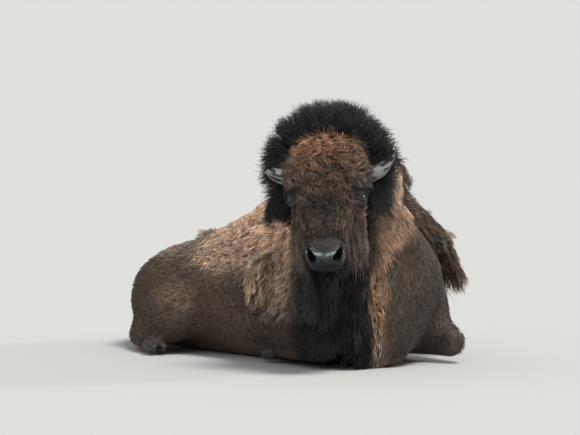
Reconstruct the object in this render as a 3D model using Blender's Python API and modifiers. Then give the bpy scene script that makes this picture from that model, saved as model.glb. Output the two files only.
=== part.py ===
"""A life-size American bison cow in the spring moult, lying down with its head up and turned to its right.

Metres, +Z up. The trunk lies along Y with the rump at +Y, the animal's left side is +X, and the floor is
z = 0. The origin is under the middle of the whole animal. Every solid reaches out to the tips of the coat.

The body and the head are each blended from simple masses into one skin, and parted into named pieces with
thin cuts. Horns, eyes, ears, hooves, beard and shed wool are solids of their own, set into that skin.
"""

import math

import bmesh
import bpy
import numpy as np
from mathutils import Matrix, Vector

# ---------------------------------------------------------------- driving dimensions
CUT = 0.0006  # gap left between two neighbouring solids

HUMP_TOP = 0.935
HUMP_Y = -0.42
RUMP_LEAN = -0.08  # how far the rump lies over to the right of the shoulders

EYE_MIDDLE = Vector((-0.392, -0.814, 0.637))  # between the two eyes
HEAD_YAW = math.radians(37)  # the face is turned this far to the animal's right
FACE_LEAN = math.radians(33)  # from plumb, the muzzle forward
HEAD_ROLL = math.radians(2)
HEAD_DEPTH = 0.125  # the head's solids end this far behind the eyes, inside the ruff
EYE_SEAT = (0.119, -0.010, -0.010)  # across, down the face, out of the face
EYE_RADIUS = 0.023

HORN_BASE = 0.031
HORN_SEAT = (0.128, -0.110, -0.022)
RIGHT_HORN = (0.88, 0.48)  # its spread and upturn beside the left one's

WOOL_THICKNESS = 0.030  # of the sheets of shed wool
FLAP_RAGGED = 0.08  # how much the length of a sheet varies along it
CLUMP_RAGGED = 0.12

BODY_VOXEL = 0.016
HEAD_VOXEL = 0.0085
FLAP_VOXEL = 0.009
BODY_SMOOTHING = 7
DRAWN_SMOOTHING = 3  # after the shoulder beneath the flap is drawn in
HEAD_SMOOTHING = 11
FLAP_SMOOTHING = 2
BODY_TRIANGLES = 1195
HEAD_TRIANGLES = 640
FLAP_TRIANGLES = 450
SHARP_ANGLE = math.radians(50)

# Where the body is parted: planes across it, and boxes round the legs.
SHOULDER_PLANE_Y = -0.13
LOIN_PLANE_Y = 0.34
NECK_PLANE = Vector((-0.020, -0.440, 0.0))
RUFF_PLANE_BACK = 0.10  # behind the middle of the ruff
RUFF_HEM = 0.46  # height above which the mane is the ruff
CHEST_LINE = 0.42  # height above which the forequarter is the hump and neck
HINDLEG_BOX = (0.270, 0.240, 0.860, 0.112)  # inner side, the two ends along Y, height
FORELEG_BOX = (0.215, -0.760, -0.130, 0.185)
LEG_BOX_REACH = 0.60
MUZZLE_PLANE = 0.176  # down the face
MOUTH_PLANE = -0.078  # out of the face
FORELOCK_EDGE = (-0.100, 0.020)  # down the face, out of it
CLAW_STEP = 0.0195  # each claw stands this far from the middle of its foot

SIDES = (("left", 1), ("right", -1))

# ---------------------------------------------------------------- scene helpers
for old in list(bpy.data.objects):
    bpy.data.objects.remove(old, do_unlink=True)

ANIMAL = bpy.data.collections.new("bison")
HELPERS = bpy.data.collections.new("helpers")
for collection in (ANIMAL, HELPERS):
    bpy.context.scene.collection.children.link(collection)


def finish_material(name, colour, roughness):
    """A plain Principled material."""
    material = bpy.data.materials.new(name)
    material.use_nodes = True
    shader = material.node_tree.nodes["Principled BSDF"]
    shader.inputs["Base Color"].default_value = (*colour, 1.0)
    shader.inputs["Roughness"].default_value = roughness
    shader.inputs["Metallic"].default_value = 0.0
    return material


MATERIALS = {
    "dark_wool": finish_material("dark_wool", (0.035, 0.025, 0.020), 0.95),
    "face_wool": finish_material("face_wool", (0.12, 0.065, 0.040), 0.95),
    "body_wool": finish_material("body_wool", (0.20, 0.125, 0.075), 0.95),
    "short_coat": finish_material("short_coat", (0.075, 0.050, 0.038), 0.85),
    "shed_wool": finish_material("shed_wool", (0.24, 0.155, 0.10), 0.95),
    "horn": finish_material("horn", (0.22, 0.21, 0.19), 0.45),
    "hoof": finish_material("hoof", (0.045, 0.038, 0.034), 0.5),
    "eye": finish_material("eye", (0.015, 0.008, 0.005), 0.1),
}


def new_object(name, mesh, collection=HELPERS):
    obj = bpy.data.objects.new(name, mesh)
    collection.objects.link(obj)
    if collection is HELPERS:
        obj.hide_render = True
        obj.display_type = "WIRE"
    return obj


def mesh_from(name, work):
    """Closes a bmesh into a mesh with its normals pointing out."""
    bmesh.ops.recalc_face_normals(work, faces=work.faces)
    mesh = bpy.data.meshes.new(name)
    work.to_mesh(mesh)
    work.free()
    return mesh


def evaluated_mesh(obj, name):
    """The object's mesh as its modifiers leave it, in world space."""
    bpy.context.view_layer.update()
    graph = bpy.context.evaluated_depsgraph_get()
    shape = obj.evaluated_get(graph)
    mesh = bpy.data.meshes.new_from_object(shape)
    mesh.transform(obj.matrix_world)
    mesh.name = name
    return mesh


def apply_modifiers(obj):
    mesh = evaluated_mesh(obj, obj.data.name)
    obj.modifiers.clear()
    obj.data = mesh
    obj.matrix_world = Matrix.Identity(4)
    return obj


def keep_largest(obj):
    """Drops the crumbs that a cut can leave beside the main piece."""
    work = bmesh.new()
    work.from_mesh(obj.data)
    unseen = set(work.verts)
    islands = []
    while unseen:
        stack = [unseen.pop()]
        island = set(stack)
        while stack:
            for edge in stack.pop().link_edges:
                for vert in edge.verts:
                    if vert in unseen:
                        unseen.discard(vert)
                        island.add(vert)
                        stack.append(vert)
        islands.append(island)
    islands.sort(key=len)
    for island in islands[:-1]:
        bmesh.ops.delete(work, geom=list(island), context="VERTS")
    work.to_mesh(obj.data)
    work.free()
    return obj


# ---------------------------------------------------------------- shapes
def through_rows(rows, steps):
    """A smooth curve through rows of numbers (Catmull-Rom), with this many steps between rows."""
    rows = np.array(rows, float)
    padded = np.vstack([2 * rows[0] - rows[1], rows, 2 * rows[-1] - rows[-2]])
    curve = []
    for i in range(1, len(padded) - 2):
        before, here, after, beyond = padded[i - 1 : i + 3]
        for t in np.arange(steps) / steps:
            curve.append(
                here
                + 0.5 * t * (after - before)
                + t**2 * (before - 2.5 * here + 2 * after - 0.5 * beyond)
                + t**3 * (1.5 * (here - after) + 0.5 * (beyond - before))
            )
    curve.append(rows[-1])
    return curve


def ring(centre, across, up, half, rise, drop, round_top, round_bottom, sides):
    """Points of a cross-section: a rounded top and bottom half that share their widest line."""
    points = []
    for k in range(sides):
        angle = 2 * math.pi * k / sides
        c, s = math.cos(angle), math.sin(angle)
        power = 2 / (round_top if s >= 0 else round_bottom)
        reach = rise if s >= 0 else drop
        side = math.copysign(abs(c) ** power, c) * half
        height = math.copysign(abs(s) ** power, s) * reach
        points.append(centre + across * side + up * height)
    return points


def loft(name, rings):
    """One closed surface through rings of equal length, its ends drawn together to a point."""
    work = bmesh.new()
    loops = [[work.verts.new(point) for point in points] for points in rings]
    for first, second in zip(loops, loops[1:]):
        for k in range(len(first)):
            after = (k + 1) % len(first)
            work.faces.new((first[k], first[after], second[after], second[k]))
    for end in (loops[0], loops[-1]):
        middle = work.verts.new(sum((v.co for v in end), Vector()) / len(end))
        for k in range(len(end)):
            work.faces.new((end[k], end[(k + 1) % len(end)], middle))
    return new_object(name, mesh_from(name, work))


def ellipsoid(name, centre, radii, axes=None, tilt=0.0, segments=24):
    """A ball scaled to three radii along the given axes; tilt turns it about the first one, in degrees."""
    work = bmesh.new()
    bmesh.ops.create_uvsphere(work, u_segments=segments, v_segments=segments * 2 // 3, radius=1.0)
    turn = Matrix(axes).transposed() if axes else Matrix.Identity(3)
    turn = turn @ Matrix.Rotation(math.radians(tilt), 3, "X")
    place = Matrix.Translation(centre) @ turn.to_4x4() @ Matrix.Diagonal((*radii, 1.0))
    bmesh.ops.transform(work, matrix=place, verts=work.verts)
    return new_object(name, mesh_from(name, work))


def limb(name, points, sides=12, steps=5):
    """A round tube that tapers through (place, radius) points on a smooth line."""
    rows = through_rows([(*place, radius) for place, radius in points], steps)
    curve = bpy.data.curves.new(name, "CURVE")
    curve.dimensions = "3D"
    curve.bevel_depth = 1.0
    curve.bevel_resolution = (sides - 4) // 2
    curve.use_fill_caps = True
    spline = curve.splines.new("POLY")
    spline.points.add(len(rows) - 1)
    for point, row in zip(spline.points, rows):
        point.co = (*row[:3], 1.0)
        point.radius = row[3]
    carrier = new_object(name + "_line", curve)
    work = bmesh.new()
    work.from_mesh(evaluated_mesh(carrier, name))
    bpy.data.objects.remove(carrier, do_unlink=True)
    bmesh.ops.remove_doubles(work, verts=work.verts, dist=1e-5)
    return new_object(name, mesh_from(name, work))


def blended(name, masses, voxel, smoothing):
    """Masses joined into one skin and smoothed where they meet."""
    work = bmesh.new()
    for mass in masses:
        work.from_mesh(mass.data)
        bpy.data.objects.remove(mass, do_unlink=True)
    skin = new_object(name, mesh_from(name, work))
    remesh = skin.modifiers.new("one_skin", "REMESH")
    remesh.mode = "VOXEL"
    remesh.voxel_size = voxel
    soften = skin.modifiers.new("soften", "SMOOTH")
    soften.factor = 0.5
    soften.iterations = smoothing
    return apply_modifiers(skin)


def thinned(obj, triangles):
    """The same skin with about this many triangles."""
    obj.modifiers.new("triangles", "TRIANGULATE")
    apply_modifiers(obj)
    fewer = obj.modifiers.new("fewer", "DECIMATE")
    fewer.ratio = triangles / len(obj.data.polygons)
    return apply_modifiers(obj)


def grown(obj, by):
    """A copy whose surface stands this far outside the object's."""
    copy = new_object(obj.name + "_grown", obj.data.copy())
    work = bmesh.new()
    work.from_mesh(copy.data)
    work.normal_update()
    for vert in work.verts:
        vert.co += vert.normal * by
    work.to_mesh(copy.data)
    work.free()
    return copy


def boolean(obj, other, operation):
    cut = obj.modifiers.new(operation.lower(), "BOOLEAN")
    cut.operation = operation
    cut.object = other
    return apply_modifiers(obj)


def make_room(obj, *guests):
    """Cuts the guests' shapes out of obj, with the usual gap round them."""
    for guest in guests:
        bigger = grown(guest, CUT)
        boolean(obj, bigger, "DIFFERENCE")
        bpy.data.objects.remove(bigger, do_unlink=True)
    return keep_largest(obj)


def half_kept(obj, point, normal):
    """Keeps what lies on the normal's side of a plane, and closes the cut."""
    work = bmesh.new()
    work.from_mesh(obj.data)
    geometry = work.verts[:] + work.edges[:] + work.faces[:]
    bmesh.ops.bisect_plane(
        work, geom=geometry, plane_co=point, plane_no=normal, clear_inner=True
    )
    open_edges = [edge for edge in work.edges if edge.is_boundary]
    bmesh.ops.triangle_fill(work, edges=open_edges, use_beauty=True)
    bmesh.ops.recalc_face_normals(work, faces=work.faces)
    bmesh.ops.triangulate(work, faces=work.faces)
    work.to_mesh(obj.data)
    work.free()
    return obj


def parted(obj, point, normal, name):
    """Splits obj at a plane: the normal's side is returned as a new object, and obj keeps the rest."""
    point, normal = Vector(point), Vector(normal).normalized()
    other = new_object(name, obj.data.copy())
    half_kept(other, point + normal * CUT / 2, normal)
    half_kept(obj, point - normal * CUT / 2, -normal)
    keep_largest(obj)
    return keep_largest(other)


def boxed(obj, low, high, name):
    """Splits obj at the walls of a box: the inside is returned as a new object, and obj keeps the rest."""
    low, high = Vector(low), Vector(high)

    def block(margin):
        work = bmesh.new()
        bmesh.ops.create_cube(work, size=1.0)
        size = high - low + Vector((margin,) * 3)
        place = Matrix.Translation((low + high) / 2) @ Matrix.Diagonal((*size, 1.0))
        bmesh.ops.transform(work, matrix=place, verts=work.verts)
        return new_object("block", mesh_from("block", work))

    inside, outside = block(-CUT), block(CUT)
    other = new_object(name, obj.data.copy())
    boolean(other, inside, "INTERSECT")
    boolean(obj, outside, "DIFFERENCE")
    for cutter in (inside, outside):
        bpy.data.objects.remove(cutter, do_unlink=True)
    keep_largest(obj)
    return keep_largest(other)


def publish(obj, name, material):
    """Moves a finished solid into the animal's collection under its own name."""
    HELPERS.objects.unlink(obj)
    ANIMAL.objects.link(obj)
    obj.name = name
    obj.data.name = name
    obj.hide_render = False
    obj.display_type = "TEXTURED"
    obj.data.materials.clear()
    obj.data.materials.append(MATERIALS[material])
    obj.data.shade_smooth()
    obj.data.set_sharp_from_angle(angle=SHARP_ANGLE)
    return obj


# ---------------------------------------------------------------- the head's own frame
FORWARD = Vector((-math.sin(HEAD_YAW), -math.cos(HEAD_YAW), 0.0))
LEFTWARD = Vector((math.cos(HEAD_YAW), -math.sin(HEAD_YAW), 0.0))
ROLLED = Matrix.Rotation(HEAD_ROLL, 3, FORWARD)
ACROSS = ROLLED @ LEFTWARD
PLUMB = ROLLED @ Vector((0.0, 0.0, 1.0))
DOWN_FACE = math.sin(FACE_LEAN) * FORWARD - math.cos(FACE_LEAN) * PLUMB
OUT_OF_FACE = math.cos(FACE_LEAN) * FORWARD + math.sin(FACE_LEAN) * PLUMB
HEAD_AXES = (ACROSS, DOWN_FACE, OUT_OF_FACE)
HANGING_AXES = (LEFTWARD, -FORWARD, Vector((0, 0, 1)))


def on_head(across, down, out):
    """A place to the animal's left, down the face and out of it, from between the eyes."""
    return EYE_MIDDLE + ACROSS * across + DOWN_FACE * down + OUT_OF_FACE * out


# ---------------------------------------------------------------- the head
# Cross-sections from the poll to the lips: distance down the face, then out of it the face, the widest
# line and the jaw, the half width, and how square the upper and lower halves are.
SKULL = (
    (-0.220, 0.030, -0.030, -0.090, 0.070, 2.0, 2.0),
    (-0.195, 0.068, -0.020, -0.150, 0.118, 2.2, 2.0),
    (-0.135, 0.086, -0.020, -0.190, 0.148, 2.3, 2.0),
    (-0.065, 0.082, -0.020, -0.205, 0.148, 2.4, 2.0),
    (-0.010, 0.074, -0.018, -0.200, 0.128, 2.4, 2.0),
    (0.050, 0.066, -0.020, -0.175, 0.108, 2.3, 2.0),
    (0.110, 0.054, -0.025, -0.140, 0.090, 2.2, 2.1),
    (0.168, 0.043, -0.030, -0.112, 0.080, 2.2, 2.2),
    (0.214, 0.035, -0.035, -0.104, 0.081, 2.4, 2.4),
    (0.250, 0.014, -0.040, -0.098, 0.071, 2.4, 2.4),
    (0.270, -0.018, -0.045, -0.075, 0.043, 2.2, 2.2),
)


def head_masses():
    rings = [
        ring(
            on_head(0, down, widest), ACROSS, OUT_OF_FACE, half,
            face - widest, widest - jaw, square_up, square_down, 36,
        )
        for down, face, widest, jaw, half, square_up, square_down in through_rows(SKULL, 4)
    ]
    masses = [loft("skull", rings)]
    lumps = (  # across, down, out, and the three radii
        ("brow", 0.108, -0.050, -0.004, 0.046, 0.032, 0.032),
        ("orbit", 0.106, 0.016, -0.022, 0.034, 0.030, 0.030),
        ("cheek", 0.092, 0.055, -0.100, 0.046, 0.125, 0.092),
        ("jaw_hair", 0.066, 0.095, -0.120, 0.054, 0.085, 0.070),
        ("nostril_wing", 0.050, 0.222, 0.002, 0.029, 0.036, 0.032),
        ("lip", 0.040, 0.230, -0.058, 0.036, 0.046, 0.034),
        ("temple", 0.120, -0.095, -0.035, 0.046, 0.060, 0.050),
    )
    for _, side in SIDES:
        for name, across, down, out, *radii in lumps:
            masses.append(ellipsoid(name, on_head(side * across, down, out), radii, HEAD_AXES))
    masses.append(ellipsoid("chin", on_head(0, 0.205, -0.108), (0.050, 0.050, 0.034), HEAD_AXES))
    masses.append(ellipsoid("forelock", on_head(0, -0.146, 0.032), (0.146, 0.105, 0.074), HEAD_AXES))
    masses.append(ellipsoid("forehead", on_head(0, -0.090, 0.015), (0.170, 0.095, 0.076), HEAD_AXES))
    return masses


def horn(side):
    """A short horn that leaves the head sideways and turns up to a sharp tip, the right one less so."""
    across, down, out = HORN_SEAT
    spread, upturn = (1.0, 1.0) if side > 0 else RIGHT_HORN
    line = (
        ((-0.035, 0.006, 0.000), 1.00),
        ((0.020, 0.000, 0.004), 0.98),
        ((0.062, -0.014, 0.012), 0.82),
        ((0.092, -0.042, 0.018), 0.60),
        ((0.108, -0.074, 0.016), 0.36),
        ((0.112, -0.108, 0.008), 0.09),
    )
    return limb(
        "horn",
        [
            (on_head(side * (across + a * spread), down + d * upturn, out + o), HORN_BASE * r)
            for (a, d, o), r in line
        ],
        sides=8,
        steps=3,
    )


def ear(side):
    """A hairy ear hanging out below and behind the horn."""
    root = on_head(side * 0.130, -0.098, -0.070)
    tip_way = (ACROSS * side * 0.74 - PLUMB * 0.66 - FORWARD * 0.06).normalized()
    flat_way = tip_way.cross(FORWARD).normalized()
    thin_way = tip_way.cross(flat_way)
    rings = []
    for along, half, thick in through_rows(
        (
            (0.000, 0.030, 0.026),
            (0.045, 0.052, 0.034),
            (0.095, 0.056, 0.030),
            (0.135, 0.040, 0.018),
            (0.160, 0.012, 0.007),
        ),
        2,
    ):
        centre = root + tip_way * along
        rings.append(ring(centre, flat_way, thin_way, half, thick, thick, 2, 2, 8))
    return loft("ear", rings)


def eye(side):
    across, down, out = EYE_SEAT
    return ellipsoid("eye", on_head(side * across, down, out), (EYE_RADIUS,) * 3, segments=10)


def nostril_tool(side):
    """The hole of one nostril: a comma-shaped pit that runs in and back from the nose."""
    mouth = on_head(side * 0.053, 0.262, 0.018)
    depth = on_head(side * 0.034, 0.200, -0.014)
    line = [(mouth, 0.0165), ((mouth + depth) / 2, 0.013), (depth, 0.007)]
    return limb("nostril", line, sides=6, steps=1)


def beard():
    """Long hair under the chin and jaw, drawn down to a blunt point."""
    top = on_head(-0.018, 0.135, -0.100)
    rows = (  # drop below the top, forward shift, half width, half depth
        (-0.030, -0.010, 0.062, 0.070),
        (0.050, 0.000, 0.078, 0.088),
        (0.130, 0.004, 0.070, 0.074),
        (0.200, 0.000, 0.048, 0.050),
        (0.250, -0.004, 0.016, 0.018),
    )
    rings = []
    for drop, shift, half, depth in through_rows(rows, 2):
        centre = top + FORWARD * shift - Vector((0, 0, drop))
        rings.append(ring(centre, LEFTWARD, FORWARD, half, depth, depth, 2.2, 2.0, 16))
    return loft("beard", rings)


# ---------------------------------------------------------------- the body
# Cross-sections from the rump to the brisket: sideways and lengthwise place, turn to the right in degrees,
# top, height of the widest line, half width, bottom, and how square the upper and lower halves are.
TRUNK = (
    (RUMP_LEAN * 1.05, 0.905, 0, 0.280, 0.170, 0.085, 0.060, 2.0, 2.0),
    (RUMP_LEAN, 0.850, 0, 0.362, 0.180, 0.165, 0.000, 1.9, 2.3),
    (RUMP_LEAN * 0.85, 0.730, 0, 0.398, 0.190, 0.242, -0.015, 1.8, 2.5),
    (RUMP_LEAN * 0.55, 0.520, 0, 0.448, 0.205, 0.285, -0.020, 1.7, 2.6),
    (RUMP_LEAN * 0.25, 0.300, 0, 0.526, 0.220, 0.335, -0.025, 1.7, 2.6),
    (0.0, 0.060, 0, 0.642, 0.235, 0.350, -0.025, 1.6, 2.6),
    (0.0, -0.180, 0, 0.800, 0.250, 0.345, -0.025, 1.45, 2.5),
    (0.0, HUMP_Y, 0, HUMP_TOP, 0.260, 0.322, -0.020, 1.32, 2.3),
    (-0.015, -0.560, 6, 0.830, 0.300, 0.240, 0.000, 1.3, 2.1),
    (-0.030, -0.660, 10, 0.650, 0.300, 0.160, 0.080, 1.8, 2.0),
    (-0.035, -0.705, 10, 0.460, 0.290, 0.060, 0.180, 2.0, 2.0),
)

# The left shoulder's outline beneath the flap: height, and how far it reaches along a way out and ahead.
SHOULDER_LINE = (
    (0.050, 0.640),
    (0.215, 0.551),
    (0.283, 0.526),
    (0.377, 0.509),
    (0.487, 0.434),
    (0.547, 0.389),
    (0.607, 0.350),
    (0.720, 0.372),
    (0.900, 0.400),
)
SHOULDER_WAY = Vector((0.857, -0.515, 0.0))
SHOULDER_BACK = 0.150  # behind this along Y nothing is drawn in
SHOULDER_FADE = 0.250  # and it takes this much of the length to reach the full amount
SHOULDER_DRAW = 0.90  # the part of what lies beyond the outline that is drawn in

# The same from the shoulders to the back of the head.
NECK = (
    (0.010, -0.360, 20, 0.915, 0.580, 0.130, 0.300, 1.7, 2.0),
    (-0.090, -0.500, 38, 0.950, 0.580, 0.175, 0.200, 1.9, 2.0),
    (-0.180, -0.590, 42, 0.970, 0.590, 0.180, 0.230, 2.0, 2.0),
    (-0.265, -0.680, 39, 0.950, 0.620, 0.165, 0.330, 2.0, 2.0),
    (-0.300, -0.720, 37, 0.830, 0.630, 0.120, 0.420, 2.0, 2.0),
)


def body_loft(name, rows):
    rings = []
    for x, y, turn, top, widest, half, bottom, square_up, square_down in through_rows(rows, 4):
        angle = math.radians(turn)
        across = Vector((math.cos(angle), -math.sin(angle), 0.0))
        rings.append(
            ring(
                Vector((x, y, widest)), across, Vector((0, 0, 1)), half,
                top - widest, widest - bottom, square_up, square_down, 40,
            )
        )
    return loft(name, rings)


RUFF_MIDDLE = EYE_MIDDLE - FORWARD * 0.185 + PLUMB * 0.100
RUFF_RADIUS = 0.265
THROAT = EYE_MIDDLE - FORWARD * 0.165 - PLUMB * 0.200


def body_masses():
    masses = [body_loft("trunk", TRUNK), body_loft("neck", NECK)]
    masses.append(
        ellipsoid("ruff", RUFF_MIDDLE, (RUFF_RADIUS, 0.150, RUFF_RADIUS), (ACROSS, -FORWARD, PLUMB))
    )
    masses.append(ellipsoid("nape", (-0.140, -0.540, 0.760), (0.130, 0.210, 0.195)))
    masses.append(ellipsoid("throat_mane", (-0.160, -0.650, 0.280), (0.105, 0.110, 0.280), HANGING_AXES))
    masses.append(ellipsoid("throat", THROAT, (0.110, 0.120, 0.170), HANGING_AXES))
    masses.append(ellipsoid("brisket", (-0.040, -0.570, 0.190), (0.180, 0.160, 0.230)))
    masses.append(ellipsoid("neck_fold", (-0.005, -0.600, 0.390), (0.055, 0.070, 0.200)))
    for _, side in SIDES:
        x = RUMP_LEAN + side * 0.180
        masses.append(ellipsoid("shoulder", (side * 0.200, -0.460, 0.330), (0.120, 0.170, 0.250), tilt=14))
        masses.append(
            ellipsoid("upper_arm", (side * 0.270, -0.370, 0.200), (0.105, 0.190, 0.170), tilt=-20)
        )
        masses.append(ellipsoid("haunch", (x, 0.540, 0.195), (0.135, 0.235, 0.185), tilt=-6))
    return masses


def foreleg_line(side):
    """The forearm laid forward from the elbow to the knee, and the cannon folded back beneath it."""
    upper = (
        ((side * 0.230, -0.340, 0.250), 0.100),
        ((side * 0.290, -0.220, 0.180), 0.086),
        ((side * 0.300, -0.340, 0.140), 0.076),
        ((side * 0.296, -0.480, 0.112), 0.064),
        ((side * 0.288, -0.610, 0.082), 0.060),
        ((side * 0.284, -0.660, 0.062), 0.048),
    )
    cannon = (
        ((side * 0.284, -0.655, 0.056), 0.046),
        ((side * 0.280, -0.560, 0.042), 0.037),
        ((side * 0.276, -0.430, 0.038), 0.033),
        ((side * 0.274, -0.330, 0.042), 0.040),
        ((side * 0.274, -0.280, 0.036), 0.030),
    )
    return upper, cannon


def hindleg_line(side):
    """Hip, stifle out at the flank, gaskin back to the hock, and the cannon forward along the floor."""
    x = RUMP_LEAN
    upper = (
        ((x + side * 0.165, 0.560, 0.215), 0.125),
        ((x + side * 0.280, 0.350, 0.165), 0.115),
        ((x + side * 0.305, 0.300, 0.120), 0.092),
        ((x + side * 0.306, 0.400, 0.100), 0.082),
        ((x + side * 0.288, 0.530, 0.084), 0.062),
        ((x + side * 0.276, 0.610, 0.070), 0.050),
        ((x + side * 0.274, 0.650, 0.058), 0.038),
    )
    cannon = (
        ((x + side * 0.280, 0.640, 0.052), 0.042),
        ((x + side * 0.320, 0.580, 0.042), 0.038),
        ((x + side * 0.362, 0.480, 0.036), 0.033),
        ((x + side * 0.386, 0.380, 0.038), 0.040),
        ((x + side * 0.392, 0.330, 0.036), 0.030),
    )
    return upper, cannon


def claw(heel, toward, side_step):
    """One claw of a cloven hoof, a blunt wedge pointing the given way along the floor from its heel."""
    toward = Vector(toward).normalized()
    across = Vector((-toward.y, toward.x, 0.0)).normalized()
    upward = toward.cross(across)
    if upward.z < 0:
        upward = -upward
    rings = []
    for along, half, rise, drop in (
        (-0.008, 0.012, 0.018, 0.016),
        (0.016, 0.018, 0.026, 0.024),
        (0.056, 0.018, 0.018, 0.026),
        (0.080, 0.012, 0.006, 0.024),
        (0.088, 0.005, 0.000, 0.020),
    ):
        centre = Vector(heel) + toward * along + across * side_step
        rings.append(ring(centre, across, upward, half, rise, drop, 2.6, 2.6, 6))
    return loft("claw", rings)


def tail_line():
    x = RUMP_LEAN
    return (
        ((x, 0.800, 0.310), 0.060),
        ((x + 0.005, 0.885, 0.290), 0.044),
        ((x + 0.022, 0.938, 0.215), 0.031),
        ((x + 0.055, 0.958, 0.130), 0.028),
        ((x + 0.105, 0.955, 0.062), 0.032),
        ((x + 0.170, 0.940, 0.036), 0.040),
        ((x + 0.235, 0.925, 0.030), 0.036),
        ((x + 0.285, 0.915, 0.024), 0.014),
    )


# ---------------------------------------------------------------- shed winter wool
# The thick folded front edge of the flap with its lobes, and the roll of wool up the hump above it.
FLAP_ROLLS = (
    (
        ((0.140, -0.465, 0.628), 0.020),
        ((0.197, -0.470, 0.573), 0.030),
        ((0.277, -0.470, 0.497), 0.038),
        ((0.334, -0.465, 0.437), 0.032),
        ((0.376, -0.460, 0.408), 0.020),
        ((0.424, -0.455, 0.400), 0.006),
    ),
    (
        ((0.270, -0.465, 0.530), 0.018),
        ((0.310, -0.465, 0.508), 0.016),
        ((0.358, -0.465, 0.470), 0.005),
    ),
    (
        ((0.385, -0.410, 0.405), 0.022),
        ((0.438, -0.410, 0.343), 0.024),
        ((0.472, -0.405, 0.297), 0.019),
        ((0.492, -0.400, 0.258), 0.007),
    ),
    (
        ((0.165, -0.440, 0.620), 0.026),
        ((0.158, -0.452, 0.705), 0.030),
        ((0.140, -0.455, 0.775), 0.024),
        ((0.124, -0.450, 0.830), 0.010),
    ),
)


def wool_sheet(name, top_edge, drop, reach, thickness, ragged):
    """A matted sheet of old coat that leaves the body at its top edge and ends in ragged lobes.

    top_edge is a list of places from front to back; drop is how far the sheet falls at each, and reach how
    far out its hem then stands.
    """
    columns = through_rows([(*place, fall, out) for place, fall, out in zip(top_edge, drop, reach)], 4)
    rows = 8
    work = bmesh.new()
    grid = []
    for i, (x, y, z, fall, out) in enumerate(columns):
        share = i / (len(columns) - 1)
        stretch = 1 + ragged * 0.5 * (math.sin(share * 17.0) + math.sin(share * 41.0 + 1.3))
        line = []
        for j in range(rows):
            t = j / (rows - 1)
            line.append(work.verts.new((x + out * (1 - (1 - t) ** 2), y, z - fall * stretch * t)))
        grid.append(line)
    for first, second in zip(grid, grid[1:]):
        for j in range(rows - 1):
            work.faces.new((first[j], first[j + 1], second[j + 1], second[j]))
    sheet = new_object(name, mesh_from(name, work))
    shell = sheet.modifiers.new("thickness", "SOLIDIFY")
    shell.thickness = thickness
    shell.offset = 0.0
    return apply_modifiers(sheet)


def left_flap():
    """The big loose flap of winter wool that lies over the left shoulder and hangs free below it."""
    top_edge = (
        (0.128, -0.440, 0.645),
        (0.160, -0.350, 0.670),
        (0.235, -0.200, 0.610),
        (0.300, -0.060, 0.480),
    )
    drop = (0.360, 0.410, 0.370, 0.240)
    reach = (0.300, 0.290, 0.190, 0.095)
    sheet = wool_sheet("flap", top_edge, drop, reach, WOOL_THICKNESS, FLAP_RAGGED)
    rolls = [limb("roll", line, sides=8) for line in FLAP_ROLLS]
    return thinned(blended("flap", [sheet, *rolls], FLAP_VOXEL, FLAP_SMOOTHING), FLAP_TRIANGLES)


def right_clump():
    """Locks of old wool that hang from the right side behind the shoulder."""
    top_edge = ((-0.290, -0.350, 0.430), (-0.310, -0.270, 0.425), (-0.325, -0.180, 0.390))
    drop = (0.150, 0.190, 0.130)
    reach = (-0.055, -0.060, -0.040)
    return wool_sheet("clump", top_edge, drop, reach, WOOL_THICKNESS, CLUMP_RAGGED)


def back_tuft():
    """A wisp of old coat that stands up on the loins."""
    return ellipsoid("back_tuft", (-0.070, 0.580, 0.430), (0.024, 0.036, 0.030), segments=8)


# ---------------------------------------------------------------- putting it together
def drawn_in(body):
    """Draws in the left shoulder beneath the flap, so that the loose wool stands clear of it."""
    heights, limits = zip(*SHOULDER_LINE)
    for vertex in body.data.vertices:
        place = vertex.co
        if place.x <= 0 or place.z < heights[0]:
            continue
        limit = float(np.interp(place.z, heights, limits))
        excess = place.dot(SHOULDER_WAY) - limit
        if excess > 0:
            share = min(1.0, max(0.0, (SHOULDER_BACK - place.y) / SHOULDER_FADE))
            place.x -= SHOULDER_DRAW * share * excess / SHOULDER_WAY.x
    return body


FLOOR = Vector((0, 0, 0))
UP = Vector((0, 0, 1))
LENGTHWISE = Vector((0, 1, 0))


def pieces_set_in():
    """The small solids that sit in the head and the body, by name, each with its material."""
    small = {
        "beard": (beard(), "dark_wool"),
        "wool_flap_left": (left_flap(), "shed_wool"),
        "wool_clump_right": (right_clump(), "shed_wool"),
        "wool_tuft_back": (back_tuft(), "shed_wool"),
        "tail": (limb("tail", tail_line(), sides=8, steps=2), "body_wool"),
    }
    for label, side in SIDES:
        small["horn_" + label] = (horn(side), "horn")
        small["ear_" + label] = (ear(side), "dark_wool")
        small["eye_" + label] = (eye(side), "eye")
        for leg, line in (("front", foreleg_line(side)), ("hind", hindleg_line(side))):
            toe, fetlock = (Vector(place) for place, _ in (line[1][-1], line[1][-2]))
            toward = toe - fetlock
            toward.z = 0.0
            for which, step in (("outer", side), ("inner", -side)):
                name = f"claw_{leg}_{label}_{which}"
                small[name] = (claw(toe, toward, -CLAW_STEP * step), "hoof")
    for obj, _ in small.values():
        half_kept(obj, FLOOR, UP)
    return small


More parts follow.
